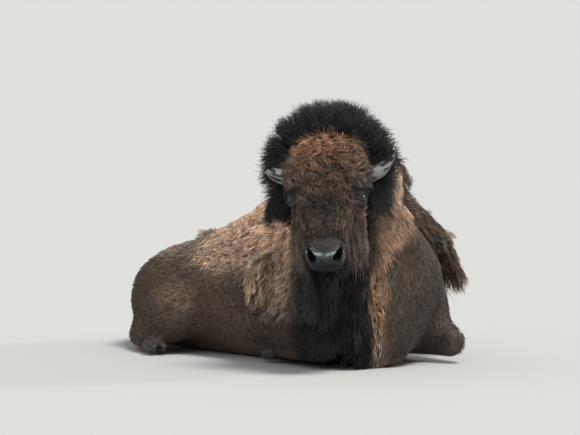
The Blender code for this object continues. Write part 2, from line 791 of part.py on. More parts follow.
def part_body(body):
    """Parts the trunk, neck and legs with thin cuts."""
    pieces = {}
    for leg, box, middle in (("hindleg", HINDLEG_BOX, RUMP_LEAN), ("foreleg", FORELEG_BOX, 0.0)):
        inner, front, back, height = box
        for label, side in SIDES:
            near, far = sorted((middle + side * inner, middle + side * LEG_BOX_REACH))
            low, high = (near, front, -0.1), (far, back, height)
            pieces[f"{leg}_{label}"] = (boxed(body, low, high, leg), "short_coat")
    fore = parted(body, (0, SHOULDER_PLANE_Y, 0), -LENGTHWISE, "fore")
    pieces["hindquarters"] = (parted(body, (0, LOIN_PLANE_Y, 0), LENGTHWISE, "hindquarters"), "body_wool")
    pieces["barrel"] = (body, "body_wool")
    mane = parted(fore, RUFF_MIDDLE - FORWARD * RUFF_PLANE_BACK, FORWARD, "mane")
    pieces["ruff"] = (parted(mane, UP * RUFF_HEM, UP, "ruff"), "dark_wool")
    pieces["throat_mane"] = (mane, "dark_wool")
    hump = parted(fore, UP * CHEST_LINE, UP, "hump")
    pieces["neck"] = (parted(hump, NECK_PLANE, FORWARD, "neck"), "body_wool")
    pieces["hump"] = (hump, "body_wool")
    pieces["chest"] = (fore, "short_coat")
    return pieces


def part_head(head):
    """Parts the muzzle, lower jaw and forelock from the face with thin cuts."""
    muzzle = parted(head, on_head(0, MUZZLE_PLANE, 0), DOWN_FACE, "muzzle")
    jaw = parted(muzzle, on_head(0, 0, MOUTH_PLANE), -OUT_OF_FACE, "lower_jaw")
    forelock = parted(head, on_head(0, *FORELOCK_EDGE), OUT_OF_FACE - DOWN_FACE * 0.8, "forelock")
    return {
        "head": (head, "face_wool"),
        "muzzle": (muzzle, "short_coat"),
        "lower_jaw": (jaw, "dark_wool"),
        "forelock": (forelock, "face_wool"),
    }


def main():
    head = blended("head", head_masses(), HEAD_VOXEL, HEAD_SMOOTHING)
    half_kept(head, EYE_MIDDLE - FORWARD * HEAD_DEPTH, FORWARD)
    head = thinned(head, HEAD_TRIANGLES)
    masses = body_masses()
    for _, side in SIDES:
        for line in (*foreleg_line(side), *hindleg_line(side)):
            masses.append(limb("leg", line))
    body = blended("body", masses, BODY_VOXEL, BODY_SMOOTHING)
    body = blended("body", [drawn_in(body)], BODY_VOXEL, DRAWN_SMOOTHING)
    body = thinned(body, BODY_TRIANGLES)
    half_kept(body, FLOOR, UP)

    for _, side in SIDES:
        tool = nostril_tool(side)
        boolean(head, tool, "DIFFERENCE")
        bpy.data.objects.remove(tool, do_unlink=True)
    small = pieces_set_in()
    for label, _ in SIDES:
        make_room(small["ear_" + label][0], small["horn_" + label][0])
    make_room(body, head)
    for name, (obj, _) in small.items():
        if name.split("_")[0] in ("beard", "horn", "ear", "eye"):
            make_room(head, obj)
        if name.split("_")[0] != "eye":
            make_room(body, obj)

    pieces = {**part_head(head), **part_body(body), **small}
    for name, (obj, material) in pieces.items():
        publish(obj, name, material)

    corners = np.array([v.co for obj, _ in pieces.values() for v in obj.data.vertices])
    low, high = corners.min(axis=0), corners.max(axis=0)
    shift = Matrix.Translation((-(low[0] + high[0]) / 2, -(low[1] + high[1]) / 2, -low[2]))
    for obj, _ in pieces.values():
        obj.data.transform(shift)


main()
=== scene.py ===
import math

import bmesh
import bpy
import numpy as np
from mathutils import Matrix, Vector
from mathutils.bvhtree import BVHTree


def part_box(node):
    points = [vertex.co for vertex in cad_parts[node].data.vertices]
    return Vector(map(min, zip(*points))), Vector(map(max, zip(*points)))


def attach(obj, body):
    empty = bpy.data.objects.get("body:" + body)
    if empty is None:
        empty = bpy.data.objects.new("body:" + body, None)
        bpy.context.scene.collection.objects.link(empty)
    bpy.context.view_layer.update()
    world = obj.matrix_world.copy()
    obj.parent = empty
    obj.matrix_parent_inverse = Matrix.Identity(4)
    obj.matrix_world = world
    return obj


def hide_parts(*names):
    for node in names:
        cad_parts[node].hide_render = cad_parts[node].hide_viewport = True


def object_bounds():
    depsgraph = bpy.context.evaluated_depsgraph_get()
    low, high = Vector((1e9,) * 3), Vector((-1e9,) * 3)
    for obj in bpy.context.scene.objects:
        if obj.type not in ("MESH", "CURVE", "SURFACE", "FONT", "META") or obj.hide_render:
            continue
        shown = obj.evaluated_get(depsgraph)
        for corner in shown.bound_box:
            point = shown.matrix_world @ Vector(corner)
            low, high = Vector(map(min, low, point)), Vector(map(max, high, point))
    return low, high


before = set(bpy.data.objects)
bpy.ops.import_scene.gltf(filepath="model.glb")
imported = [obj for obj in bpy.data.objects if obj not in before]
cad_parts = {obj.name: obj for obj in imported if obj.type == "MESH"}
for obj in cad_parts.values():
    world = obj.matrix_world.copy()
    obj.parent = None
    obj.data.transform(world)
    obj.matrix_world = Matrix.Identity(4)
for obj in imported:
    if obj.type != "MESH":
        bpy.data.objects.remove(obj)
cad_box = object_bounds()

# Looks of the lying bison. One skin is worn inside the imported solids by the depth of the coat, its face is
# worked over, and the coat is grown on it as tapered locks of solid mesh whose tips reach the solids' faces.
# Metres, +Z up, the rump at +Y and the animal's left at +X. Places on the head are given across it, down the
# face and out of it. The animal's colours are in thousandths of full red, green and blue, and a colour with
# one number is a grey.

# ---- sizes
FACE_LEAN = math.radians(33)
EYE_DOWN, EYE_OUT = -0.01, -0.01  # from the middle of the head's frame
EYE_RADIUS = 0.023
SKIN_VOXEL, CLAW_VOXEL = 0.012, 0.0028
WEAR_STEPS = 6
SHORT_DEPTH = 0.008
PATCH = 0.003  # one lock's patch on the skin's unwrap
CAMERA_YAW = math.radians(31)
CAMERA_RISE = math.radians(3.5)
CAMERA_DISTANCE = 25.0
VIEW_WIDTH = 2.1887
FLOOR_RADIUS = 200.0

RNG = np.random.default_rng(7)

# Each coat's depth, the length, width and number of its locks a square metre, how far they wave and how many
# times, how tightly they clump, and how much they sag.
COAT = {
    "ruff": (0.06, 0.095, 0.0025, 44000, 0.004, 0.8, 0.18, 0.02),
    "ears": (0.016, 0.075, 0.0028, 40000, 0.004, 0.8, 0.35, 0.4),
    "forelock": (0.024, 0.05, 0.0026, 46000, 0.006, 1.1, 0.3, 0.0),
    "head": (0.012, 0.028, 0.0024, 62000, 0.003, 0.8, 0.3, 0.05),
    "muzzle": (0.001, 0.007, 0.0013, 60000, 0.0, 0.5, 0.2, 0.0),
    "lower_jaw": (0.006, 0.06, 0.003, 30000, 0.004, 0.9, 0.45, 0.35),
    "beard": (0.032, 0.12, 0.0034, 30000, 0.006, 0.9, 0.45, 0.3),
    "throat_mane": (0.042, 0.11, 0.004, 22000, 0.008, 0.9, 0.5, 0.25),
    "neck": (0.036, 0.075, 0.0038, 21000, 0.008, 1.0, 0.55, 0.15),
    "hump": (0.03, 0.062, 0.004, 19000, 0.007, 1.0, 0.58, 0.1),
    "chest": (0.02, 0.055, 0.004, 18000, 0.006, 1.0, 0.55, 0.15),
    "barrel": (0.02, 0.052, 0.004, 17000, 0.008, 1.0, 0.62, 0.08),
    "hindquarters": (0.015, 0.046, 0.004, 16000, 0.006, 1.0, 0.52, 0.08),
    "legs": (0.008, 0.02, 0.003, 14000, 0.001, 0.7, 0.3, 0.0),
    "tail": (0.007, 0.05, 0.0036, 18000, 0.004, 0.9, 0.45, 0.1),
    "wool": (0.009, 0.065, 0.0038, 21000, 0.01, 1.1, 0.78, 0.15),
    "bare": (0.006, 0.01, 0.002, 0, 0.0, 0.5, 0.0, 0.0),
}
# The dark roots are partly the hair's own colour and partly painted shade deep in the coat.
COAT_TONES = {  # at the root and at the tip
    "ruff": ((6, 6, 7), (60, 50, 48)),
    "ears": ((5, 6, 7), (40, 44, 48)),
    "forelock": ((20, 9, 5), (330, 150, 80)),
    "head": ((12, 8, 6), (180, 110, 78)),
    "muzzle": ((30, 25, 22), (90, 76, 68)),
    "lower_jaw": ((2, 2, 3), (14, 16, 19)),
    "beard": ((2, 2, 2), (12, 13, 16)),
    "throat_mane": ((5, 5, 5), (50, 45, 43)),
    "neck": ((140, 80, 52), (940, 625, 420)),
    "hump": ((150, 88, 58), (940, 640, 430)),
    "chest": ((90, 54, 36), (820, 555, 380)),
    "barrel": ((160, 92, 60), (950, 635, 425)),
    "hindquarters": ((18, 12, 8), (320, 225, 145)),
    "legs": ((14, 9, 7), (130, 85, 60)),
    "tail": ((14, 9, 7), (160, 105, 70)),
    "wool": ((10, 6, 4), (360, 240, 150)),
    "bare": ((20, 15, 12), (50, 40, 32)),
}
GROUPS = tuple(COAT)
COLUMNS = ("depth", "length", "width", "density", "wave", "turns", "clump", "sag")
HANGING = ("ruff", "throat_mane", "beard")
BODY = ("neck", "hump", "chest", "barrel", "hindquarters", "legs")
FACE = ("forelock", "head", "muzzle")
KIND_COATS = {"ear": "ears", "foreleg": "legs", "hindleg": "legs"}
KIND_COATS.update(horn="bare", claw="bare", eye="bare")


def group_of(node):
    """The coat that a solid wears."""
    kind = node.split("_")[0]
    if kind in KIND_COATS:
        return KIND_COATS[kind]
    return node if node in COAT else "wool"


# ---- the head's own frame
def middle(node):
    low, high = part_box(node)
    return (low + high) / 2


UP = Vector((0, 0, 1))
ACROSS = (middle("eye_left") - middle("eye_right")).normalized()
FORWARD = ACROSS.cross(UP).normalized()
PLUMB = FORWARD.cross(ACROSS)
DOWN_FACE = math.sin(FACE_LEAN) * FORWARD - math.cos(FACE_LEAN) * PLUMB
OUT_OF_FACE = math.cos(FACE_LEAN) * FORWARD + math.sin(FACE_LEAN) * PLUMB
HEAD_MIDDLE = (middle("eye_left") + middle("eye_right")) / 2 - DOWN_FACE * EYE_DOWN - OUT_OF_FACE * EYE_OUT
HEAD_AXES = np.array((ACROSS, DOWN_FACE, OUT_OF_FACE))
RUFF_MIDDLE = HEAD_MIDDLE - FORWARD * 0.185 + PLUMB * 0.1


def on_head(across, down, out):
    return HEAD_MIDDLE + ACROSS * across + DOWN_FACE * down + OUT_OF_FACE * out


def head_places(points):
    """Across, down and out of the face for an array of points."""
    return (points - np.array(HEAD_MIDDLE)) @ HEAD_AXES.T


def height_of(points):
    """How high each place is over the middle of the head, along the head's own plumb line."""
    return dot(points - np.array(HEAD_MIDDLE), np.array(PLUMB))


def head_measures(points):
    """Places in the head's own frame, and how far off its middle line, down the face and high they are."""
    q = head_places(points)
    return q, np.abs(q[:, 0]), q[:, 1], height_of(points)


# ---- small maths
def soft(values, low, high):
    """A smooth step from 0 at low to 1 at high."""
    t = np.clip((values - low) / (high - low), 0, 1)
    return t * t * (3 - 2 * t)


def fall(values, low, high):
    """A smooth step from 1 at low to 0 at high."""
    return 1 - soft(values, low, high)


def bell(values, width):
    """1 where the values are 0, falling away on both sides over this width."""
    return np.exp(-((values / width) ** 2))


def apart(points, centre):
    return np.linalg.norm(points - centre, axis=1)


def unit(vectors):
    return vectors / np.maximum(np.linalg.norm(vectors, axis=-1, keepdims=True), 1e-9)


def dot(a, b):
    return np.sum(a * np.asarray(b), axis=-1)


def ripple(points, size, seed):
    """A smooth random field from -1 to 1 with features of this size: a few waves in random directions."""
    draw = np.random.default_rng(seed)
    total = np.zeros(points.shape[:-1])
    for _ in range(7):
        way = unit(draw.normal(size=3)) * draw.uniform(0.6, 1.5) / size
        total += np.sin(points @ way * 2 * math.pi * 0.5 + draw.uniform(0, 2 * math.pi))
    return total / 3.2


def rippled_three_ways(points, size, seed):
    return np.stack([ripple(points, size, seed + k) for k in range(3)], axis=1)


def mixed(a, b, share):
    return a + (b - a) * share


# ---- meshes
def new_object(name, mesh):
    obj = bpy.data.objects.new(name, mesh)
    bpy.context.scene.collection.objects.link(obj)
    return obj


def read(items, what, width, kind=float):
    """One property of every item, as rows of this many numbers."""
    values = np.empty(len(items) * width, kind)
    items.foreach_get(what, values)
    return values.reshape(-1, width)


def places(mesh):
    return read(mesh.vertices, "co", 3)


def place(mesh, co):
    mesh.vertices.foreach_set("co", co.ravel())
    mesh.update()


def normals(mesh):
    return read(mesh.vertex_normals, "vector", 3)


def edges(mesh):
    return read(mesh.edges, "vertices", 2, np.int64)


def smoothed(values, pairs, rounds, share=0.5):
    """Values at vertices, evened out along the edges."""
    count = np.bincount(pairs.ravel(), minlength=len(values)).astype(float)
    flat = values.reshape(len(values), -1).astype(float)
    for _ in range(rounds):
        total = np.empty_like(flat)
        for k in range(flat.shape[1]):
            column = flat[:, k]
            ahead = np.bincount(pairs[:, 0], column[pairs[:, 1]], len(flat))
            total[:, k] = ahead + np.bincount(pairs[:, 1], column[pairs[:, 0]], len(flat))
        flat = mixed(flat, total / np.maximum(count, 1)[:, None], share)
    return flat.reshape(values.shape)


def remeshed(mesh, voxel):
    obj = new_object("remesh_carrier", mesh)
    remesh = obj.modifiers.new("one_skin", "REMESH")
    remesh.mode = "VOXEL"
    remesh.voxel_size = voxel
    bpy.context.view_layer.update()
    shape = obj.evaluated_get(bpy.context.evaluated_depsgraph_get())
    out = bpy.data.meshes.new_from_object(shape)
    bpy.data.objects.remove(obj, do_unlink=True)
    return out


# ---- the skin
EYES = [(s, np.array(middle("eye_left" if s > 0 else "eye_right"))) for s in (1, -1)]
NODES = sorted(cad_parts)
joined = bmesh.new()
owner = []
for node in NODES:
    joined.from_mesh(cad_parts[node].data)
    owner += [GROUPS.index(group_of(node))] * (len(joined.faces) - len(owner))
SOLIDS = BVHTree.FromBMesh(joined)
OWNER = np.array(owner)
solid_mesh = bpy.data.meshes.new("solids")
joined.to_mesh(solid_mesh)
joined.free()
TABLE = np.array([COAT[g] for g in GROUPS])
ROOTS, TIPS = (np.array([COAT_TONES[g][end] for g in GROUPS]) / 1000 for end in (0, 1))


def shares(co, pairs, rounds):
    """How much each vertex belongs to each coat, by the nearest solid, evened out."""
    nearest = np.array([SOLIDS.find_nearest(Vector(p))[2] for p in co])
    one_hot = np.zeros((len(co), len(GROUPS)))
    one_hot[np.arange(len(co)), OWNER[nearest]] = 1
    return smoothed(one_hot, pairs, rounds)


def part_of(share, *coats):
    """How much each place wears any of these coats."""
    return np.clip(share[:, [GROUPS.index(g) for g in coats]].sum(axis=1), 0, 1)


def far_from(node, co):
    """How far each place is from a solid's face."""
    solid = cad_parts[node].data
    tree = BVHTree.FromPolygons([v.co for v in solid.vertices], [tuple(p.vertices) for p in solid.polygons])
    return np.array([tree.find_nearest(Vector(p))[3] for p in co])


LOIN_TUFT = np.array(middle("wool_tuft_back"))
FLAP_ALONG = np.array((0.78, 0.0, -0.62))
FLAP_UNDER = np.array((-0.62, 0.0, -0.78))
CLUMP_ALONG = np.array((0.3, 0.15, -0.95))
UPWARD = np.array((0.0, 0.0, 1.0))


def ragged(co):
    """How far the edges of the moulted patches wander."""
    return 0.036 * ripple(co, 0.22, 11) + 0.024 * ripple(co, 0.08, 12)


def ahead_of(co):
    """How far ahead and to the left each place is."""
    return 0.857 * co[:, 0] - 0.515 * co[:, 1]


def smooth_shoulder(co):
    """1 over the left shoulder, where the winter wool is already shed."""
    x, y, z = co.T
    edge = ragged(co)
    front = soft(ahead_of(co) + 0.3 * edge - 0.06 * soft(z, 0.42, 0.53), 0.285, 0.315)
    return front * soft(x, -0.1, -0.06) * fall(y + edge, -0.18, 0.02) * fall(z + 0.8 * edge, 0.49, 0.59)


def short_share(co):
    """1 where the new summer coat lies short and smooth: flanks low down, thighs, and the left shoulder."""
    x, y, z = co.T
    edge = ragged(co)
    flank = fall(z + edge, 0.24, 0.36) * soft(y + edge, -0.24, -0.14) * fall(y + edge, 0.5, 0.66)
    thigh = fall(np.hypot((y - 0.47) / 0.24, (z - 0.2) / 0.15) + edge * 3, 0.75, 1.1) * (z > 0)
    low = fall(z, 0.1, 0.2) * (np.abs(x) > 0.08) * (y > -0.62)
    return np.clip(np.maximum.reduce([flank, thigh, smooth_shoulder(co), 0.8 * low]), 0, 1)


def coat_depth(co, share):
    """How far inside the solids the skin lies."""
    depth = mixed(share @ TABLE[:, 0], SHORT_DEPTH, part_of(share, *BODY) * short_share(co))
    for _, centre in EYES:
        depth = mixed(0.002, depth, soft(apart(co, centre), 0.03, 0.065))
    return depth * soft(co[:, 2], 0.0, 0.05)


def worn_skin():
    """The solids' common surface, moved in by the depth of the coat a little at a time."""
    mesh = remeshed(solid_mesh, SKIN_VOXEL)
    for _ in range(WEAR_STEPS):
        co, pairs = places(mesh), edges(mesh)
        depth = coat_depth(co, shares(co, pairs, 6))
        push = smoothed(normals(mesh), pairs, 2)
        co = smoothed(co, pairs, 1, 0.35) - unit(push) * (depth / WEAR_STEPS)[:, None]
        co[:, 2] = np.maximum(co[:, 2], 0.001)
        place(mesh, co)
        mesh = remeshed(mesh, SKIN_VOXEL)
    co, pairs = places(mesh), edges(mesh)
    place(mesh, smoothed(co, pairs, 3))
    return mesh


def subdivided(mesh, chosen, rounds):
    """Splits the edges whose two ends are chosen, and rounds what it made."""
    for _ in range(rounds):
        work = bmesh.new()
        work.from_mesh(mesh)
        co = places(mesh)
        near = chosen(co)
        work.edges.ensure_lookup_table()
        picked = [e for e in work.edges if near[e.verts[0].index] and near[e.verts[1].index]]
        bmesh.ops.subdivide_edges(work, edges=picked, cuts=1, use_grid_fill=True)
        long_faces = [f for f in work.faces if len(f.verts) > 4]
        bmesh.ops.triangulate(work, faces=long_faces)
        work.to_mesh(mesh)
        work.free()
        co, pairs = places(mesh), edges(mesh)
        inside = chosen(co)[:, None]
        place(mesh, np.where(inside, smoothed(co, pairs, 2), co))
    return mesh


def face_region(co):
    q = head_places(co)
    return (np.abs(q[:, 0]) < 0.165) & (q[:, 1] > -0.13) & (q[:, 1] < 0.3) & (q[:, 2] > -0.165)


# Half width, rise and drop of the opening between the lids
LID_SPAN, UPPER_LID, LOWER_LID = (math.radians(a) for a in (50, 21, 19))
NOSTRIL_MOUTH = (0.053, 0.262, 0.018)
NOSTRIL_DEPTH = (0.034, 0.2, -0.014)
NOSTRIL_COMMA = (((-0.002, -0.011), 0.0145), ((0.008, 0.006), 0.0115), ((0.02, 0.024), 0.0045))


def fine_region(co):
    q = head_places(co)
    near = np.zeros(len(co), bool)
    for side, centre in EYES:
        near |= apart(co, centre) < 0.05
        near |= apart(q, np.array(NOSTRIL_MOUTH) * (side, 1, 1)) < 0.044
    return near


def gaze(side):
    """Out of an eye, along its lids towards the nose, and up across them."""
    out = (ACROSS * side * 0.8 + OUT_OF_FACE * 0.58 + DOWN_FACE * 0.05).normalized()
    along = PLUMB.cross(out).normalized() * side
    up = out.cross(along).normalized() * side
    return np.array(out), np.array(along), np.array(up)


def round_eye(co, side, centre):
    """The way and the distance from an eye, and angles: within its opening, past each lid, off its axis."""
    out, along, up = gaze(side)
    away = co - centre
    radius = np.linalg.norm(away, axis=1)
    way = away / np.maximum(radius, 1e-6)[:, None]
    facing = dot(way, out)
    a = np.arctan2(dot(way, along), facing)
    b = np.arctan2(dot(way, up), facing)
    swing = np.arccos(np.clip(facing, -1, 1))
    wide = np.clip(1 - (a / LID_SPAN) ** 2, 0, 1) ** 0.75
    above, below = b - UPPER_LID * wide, -LOWER_LID * wide - b
    return way, radius, np.minimum(-above, -below), above, below, swing


def with_lids(co, side, centre):
    way, radius, opening, above, below, swing = round_eye(co, side, centre)
    inside = soft(opening, -0.05, 0.1)
    lid = EYE_RADIUS + 0.0042 + 0.0016 * bell(opening + 0.13, 0.07)
    crease = bell(above - 0.36, 0.07) + 0.7 * bell(below - 0.4, 0.08) + 0.6 * bell(below - 0.72, 0.08)
    lid = lid - 0.0026 * crease * (swing < math.pi / 2)
    target = mixed(lid, EYE_RADIUS - 0.008, inside)
    covered = np.where(swing < math.radians(115), np.maximum(radius, EYE_RADIUS + 0.0035), radius)
    reach = fall(swing, math.radians(50), math.radians(80)) * (radius < 0.06)
    return centre + way * mixed(covered, target, reach)[:, None], swing


def dent(q, centre, radii):
    """A bump of height 1 over an ellipse in the head's own frame."""
    return np.exp(-np.sum(np.abs((q - np.array(centre)) / np.array(radii)) ** 2.0, axis=1))


def dents(q, rows):
    """Bumps and hollows added up: each has its middle, its radii and its height."""
    return sum(dent(q, centre, radii) * height for centre, radii, height in rows)


def nostril_places(q, side):
    """How far in along a nostril each place is; its offset across; the way in; and from its mouth."""
    start = np.array(NOSTRIL_MOUTH) * (side, 1, 1) + np.array((0, -0.012, 0.004))
    inward = unit(np.array(NOSTRIL_DEPTH) * (side, 1, 1) - start)
    away = q - start
    along = dot(away, inward)
    return along, away - along[:, None] * inward, inward, away


def nostril_comma(flat, side):
    """1 at the rim of a nostril, a comma whose tail runs up and out, and 0 along its middle."""
    here = np.stack([flat[:, 0] * side, dot(flat, unit(np.array((0.0, -1.0, 0.9))))], axis=1)
    least = np.full(len(here), 9.0)
    for (start, first), (end, last) in zip(NOSTRIL_COMMA, NOSTRIL_COMMA[1:]):
        start, span = np.array(start), np.array(end) - np.array(start)
        t = np.clip((here - start) @ span / (span @ span), 0, 1)
        least = np.minimum(least, apart(here - start, t[:, None] * span) / mixed(first, last, t))
    return least


BY_THE_EYE = (
    ((0.104, -0.066, 0.02), (0.04, 0.013, 0.06), 0.01),  # brow
    ((0.104, -0.049, 0.012), (0.034, 0.006, 0.06), -0.006),  # the fold under it
    ((0.11, -0.036, 0.012), (0.028, 0.007, 0.05), 0.003),  # upper lid
    ((0.084, -0.02, 0.01), (0.016, 0.022, 0.04), -0.01),  # inner corner
    ((0.1, 0.04, 0.0), (0.008, 0.034, 0.05), -0.004),  # tear groove
)
BY_THE_NOSE = (
    ((0.052, 0.214, 0.03), (0.02, 0.012, 0.022), 0.005),  # rim over the nostril
    ((0.075, 0.236, 0.0), (0.012, 0.026, 0.022), 0.004),  # wing
    ((0.0, 0.222, 0.034), (0.026, 0.022, 0.02), 0.003),  # ridge between the nostrils
    ((0.0, 0.262, 0.0), (0.0035, 0.03, 0.06), -0.004),  # groove down the middle
    ((0.03, 0.262, -0.04), (0.034, 0.018, 0.018), 0.004),  # upper lip
)


def worked_face(mesh):
    """Brows, lids, nostrils, nose pad, lips and the mouth."""
    co, pairs = places(mesh), edges(mesh)
    for side, centre in EYES:
        co, swing = with_lids(co, side, centre)
        far = apart(co, centre)
        loose = soft(swing, math.radians(48), math.radians(62)) * fall(far, 0.055, 0.075)
        loose = loose * (far > EYE_RADIUS * 0.8)
        co = mixed(co, smoothed(co, pairs, 10), loose[:, None])
        co = with_lids(co, side, centre)[0]
        place(mesh, co)
    for side, centre in EYES:
        q = head_places(co) * (side, 1, 1)
        co = co + normals(mesh) * dents(q, BY_THE_EYE)[:, None]
        place(mesh, co)

    way = normals(mesh)
    q = head_places(co)
    q[:, 0] = np.abs(q[:, 0])
    in_mouth = (q[:, 1] > 0.1) & (q[:, 0] < 0.12)
    mouth_height = -0.07 - 0.1 * np.clip(0.26 - q[:, 1], 0, 1) ** 1.5
    mouth = bell(q[:, 2] - mouth_height, 0.0055) * in_mouth * soft(q[:, 1], 0.13, 0.18) * -0.008
    co = co + way * (dents(q, BY_THE_NOSE) + mouth)[:, None]

    for side in (1, -1):
        q = head_places(co)
        along, flat, inward, away = nostril_places(q, side)
        comma = nostril_comma(flat, side)
        hole = fall(comma, 0.66, 1.1)
        bead = bell(comma - 1.32, 0.24)
        near = np.abs(along) < 0.035
        moved = q + inward * (hole * 0.032 * near)[:, None]
        co = np.array(HEAD_MIDDLE) + moved @ HEAD_AXES
        co = co + way * (bead * 0.0022 * near * (np.linalg.norm(away, axis=1) < 0.05))[:, None]
    place(mesh, co)
    return mesh


skin_mesh = worn_skin()
skin_mesh = subdivided(skin_mesh, face_region, 2)
skin_mesh = subdivided(skin_mesh, fine_region, 1)
skin_mesh = worked_face(skin_mesh)


# ---- markings and lie of the coat
# What each marking turns the root and the tip of the hair to. None leaves that end as it is.
MARKINGS = {
    "dark_brown": ((26, 17, 12), (195, 133, 94)),
    "loin_tan": (None, (420, 290, 185)),
    "summer_coat": ((22, 14, 10), (170, 108, 72)),
    # black at the throat: partly dark hair, partly painted shade under the head
    "dark_bib_and_shade": (2, (22, 23, 26)),
    "shoulder": (None, (130, 101, 80)),
    "neck_ridge": (None, (420, 285, 190)),
    "neck_band": ((40, 21, 12), (640, 405, 260)),
    # painted shade beside the left flap and round the right clump
    "gap_shade": ((3, 2, 2), (18, 12, 9)),
    "clump": (None, (620, 425, 285)),
    "flap": (None, (185, 122, 82)),
    # painted shade in the crease where the left flap leaves the shoulder
    "shaded_flap_crease": ((2, 1, 1), (8, 5, 4)),
    "flap_shade": ((2, 1, 1), (14, 9, 6)),
    # painted light: the flap's underside lower down, lighter than the rest of the flap to lift its shade
    "lit_flap_underside": ((30, 19, 13), (300, 190, 130)),
    "face": ((8, 5, 4), (195, 120, 80)),
    "crown": ((20, 7, 4), (530, 275, 148)),
    "crown_sides": (None, (200, 145, 110)),
    "dark_middle": (3, (46, 35, 28)),
    "cheeks": ((14, 11, 9), (190, 142, 112)),
    "jowls": (None, (60, 60, 64)),
    "low_face": (None, (88, 62, 48)),
    "bridge": ((22, 19, 17), (92, 78, 69)),
    "inside_ruff": ((4, 4, 5), (22, 23, 26)),
    "ruff_rim": (None, (240, 172, 140)),
    "over_horn": ((4, 4, 5), (26, 25, 26)),
    "loin_tuft": (None, (620, 430, 280)),
    "brow_crest": (None, (300, 215, 160)),
    "eye_hollow": ((6, 7, 7), (24, 23, 21)),
    # painted shade in the fold under the brow and in the creases of the lids
    "eye_fold_shade": (1, 2),
    "lid_crease_shade": (None, 4),
    "lid_edge": (None, (85, 77, 68)),
    "eye_rim": (None, 2),
    "tear_track": (None, (95, 108, 122)),
    "lit_rim": (None, (300, 345, 355)),
    # painted shade: black inside the nostrils
    "nostril": (1, 1),
    # the underside of the jaw: partly dark hair, partly painted shade
    "chin": (6, (22, 22, 24)),
}


def tone(colour):
    return np.array(colour) / 1000


def marked(tones, marks):
    """Root and tip colours after each marking in turn has covered its share of each place.

    A mark is a name in MARKINGS and a share, and a third value where it is weaker at the tip.
    """
    tones = list(tones)
    for mark in marks:
        name, share, at_tip = (*mark, 1.0)[:3]
        for end, part in enumerate((share, share * at_tip)):
            colour = MARKINGS[name][end]
            if colour is not None:
                tones[end] = mixed(tones[end], tone(colour), np.clip(part, 0, 1)[:, None])
    return tones


def neck_band(co, share):
    """1 down the brown band of hair on the left of the neck and chest."""
    z = co[:, 2]
    hung = soft(part_of(share, *HANGING), 0.2, 0.6)
    ahead = wavering_ahead(co)
    start = soft(ahead + 0.025 * hung, 0.255, 0.275)
    return lower_front(co) * start * fall(ahead - 0.1 * soft(z, 0.36, 0.52), 0.3, 0.345)


def wavering_ahead(co):
    return ahead_of(co) + 0.008 * ripple(co, 0.06, 7)


def lower_front(co):
    return fall(co[:, 1], -0.34, -0.24) * fall(co[:, 2], 0.58, 0.66)


def body_marks(co, share, band):
    """Faded tan above and ahead, dark brown low down and behind, and black at the throat, partly its dark
    hair and partly painted shade under the head.
    """
    x, y, z = co.T
    trunk = part_of(share, *BODY)
    tan = soft(z + 0.1 * soft(y, 0.3, 0.8) + 0.04 * ripple(co, 0.15, 5), 0.27, 0.4) * fall(y, 0.5, 0.88)
    tan = np.maximum(tan, fall(y, -0.34, -0.26) * fall(x, -0.14, -0.04) * soft(z, 0.1, 0.34))
    yield "dark_brown", trunk * (1 - tan) * 0.9
    yield "loin_tan", trunk * tan * soft(y, 0.45, 0.8) * 0.8
    yield "summer_coat", trunk * short_share(co) * 0.9
    ahead = wavering_ahead(co)
    # Black at the throat: partly dark hair, partly painted shade under the head.
    dark_bib_and_shade = fall(y, -0.5, -0.4) * soft(ahead, -0.04, 0.01) * fall(ahead, 0.255, 0.275) * fall(z, 0.5, 0.62)
    yield "dark_bib_and_shade", dark_bib_and_shade
    shoulder = smooth_shoulder(co)
    yield "shoulder", trunk * shoulder * 0.85
    ridge = lower_front(co) * soft(ahead, 0.27, 0.31) * soft(z, 0.34, 0.42) * (1 - shoulder)
    yield "neck_ridge", ridge
    yield "neck_band", band


def wool_marks(co, way, share):
    """The matted winter wool, with painted shade beside the left flap, in its crease, under it and round the
    right clump, and painted light on the flap's underside lower down.
    """
    x, z = co[:, 0], co[:, 2]
    wool = part_of(share, "wool")
    # Painted shade on the coat beside the left flap and round the right clump, where the wool hangs away.
    shade_by_clump = fall(far_from("wool_clump_right", co), 0.02, 0.055) * fall(z, 0.26, 0.36)
    gap_shade = np.maximum(fall(far_from("wool_flap_left", co), 0.032, 0.08), shade_by_clump)
    yield "gap_shade", gap_shade * fall(wool, 0.15, 0.5), 0.95
    matted = soft(wool, 0.2, 0.5)
    yield "clump", matted * soft(-x, 0.0, 0.1)
    yield "flap", matted * soft(x, 0.0, 0.1) * fall(x, 0.26, 0.4)
    # Painted shade in the crease under the left flap.
    yield "shaded_flap_crease", matted * shaded_flap_crease(co, way)
    beneath = matted * soft(x, 0.05, 0.1) * soft(dot(way, FLAP_UNDER), 0.1, 0.45)
    high = soft(z, 0.37, 0.43)
    yield "flap_shade", beneath * high
    # Painted light: the underside lower down is painted lighter than the rest of the flap to lift its shade.
    yield "lit_flap_underside", beneath * (1 - high)


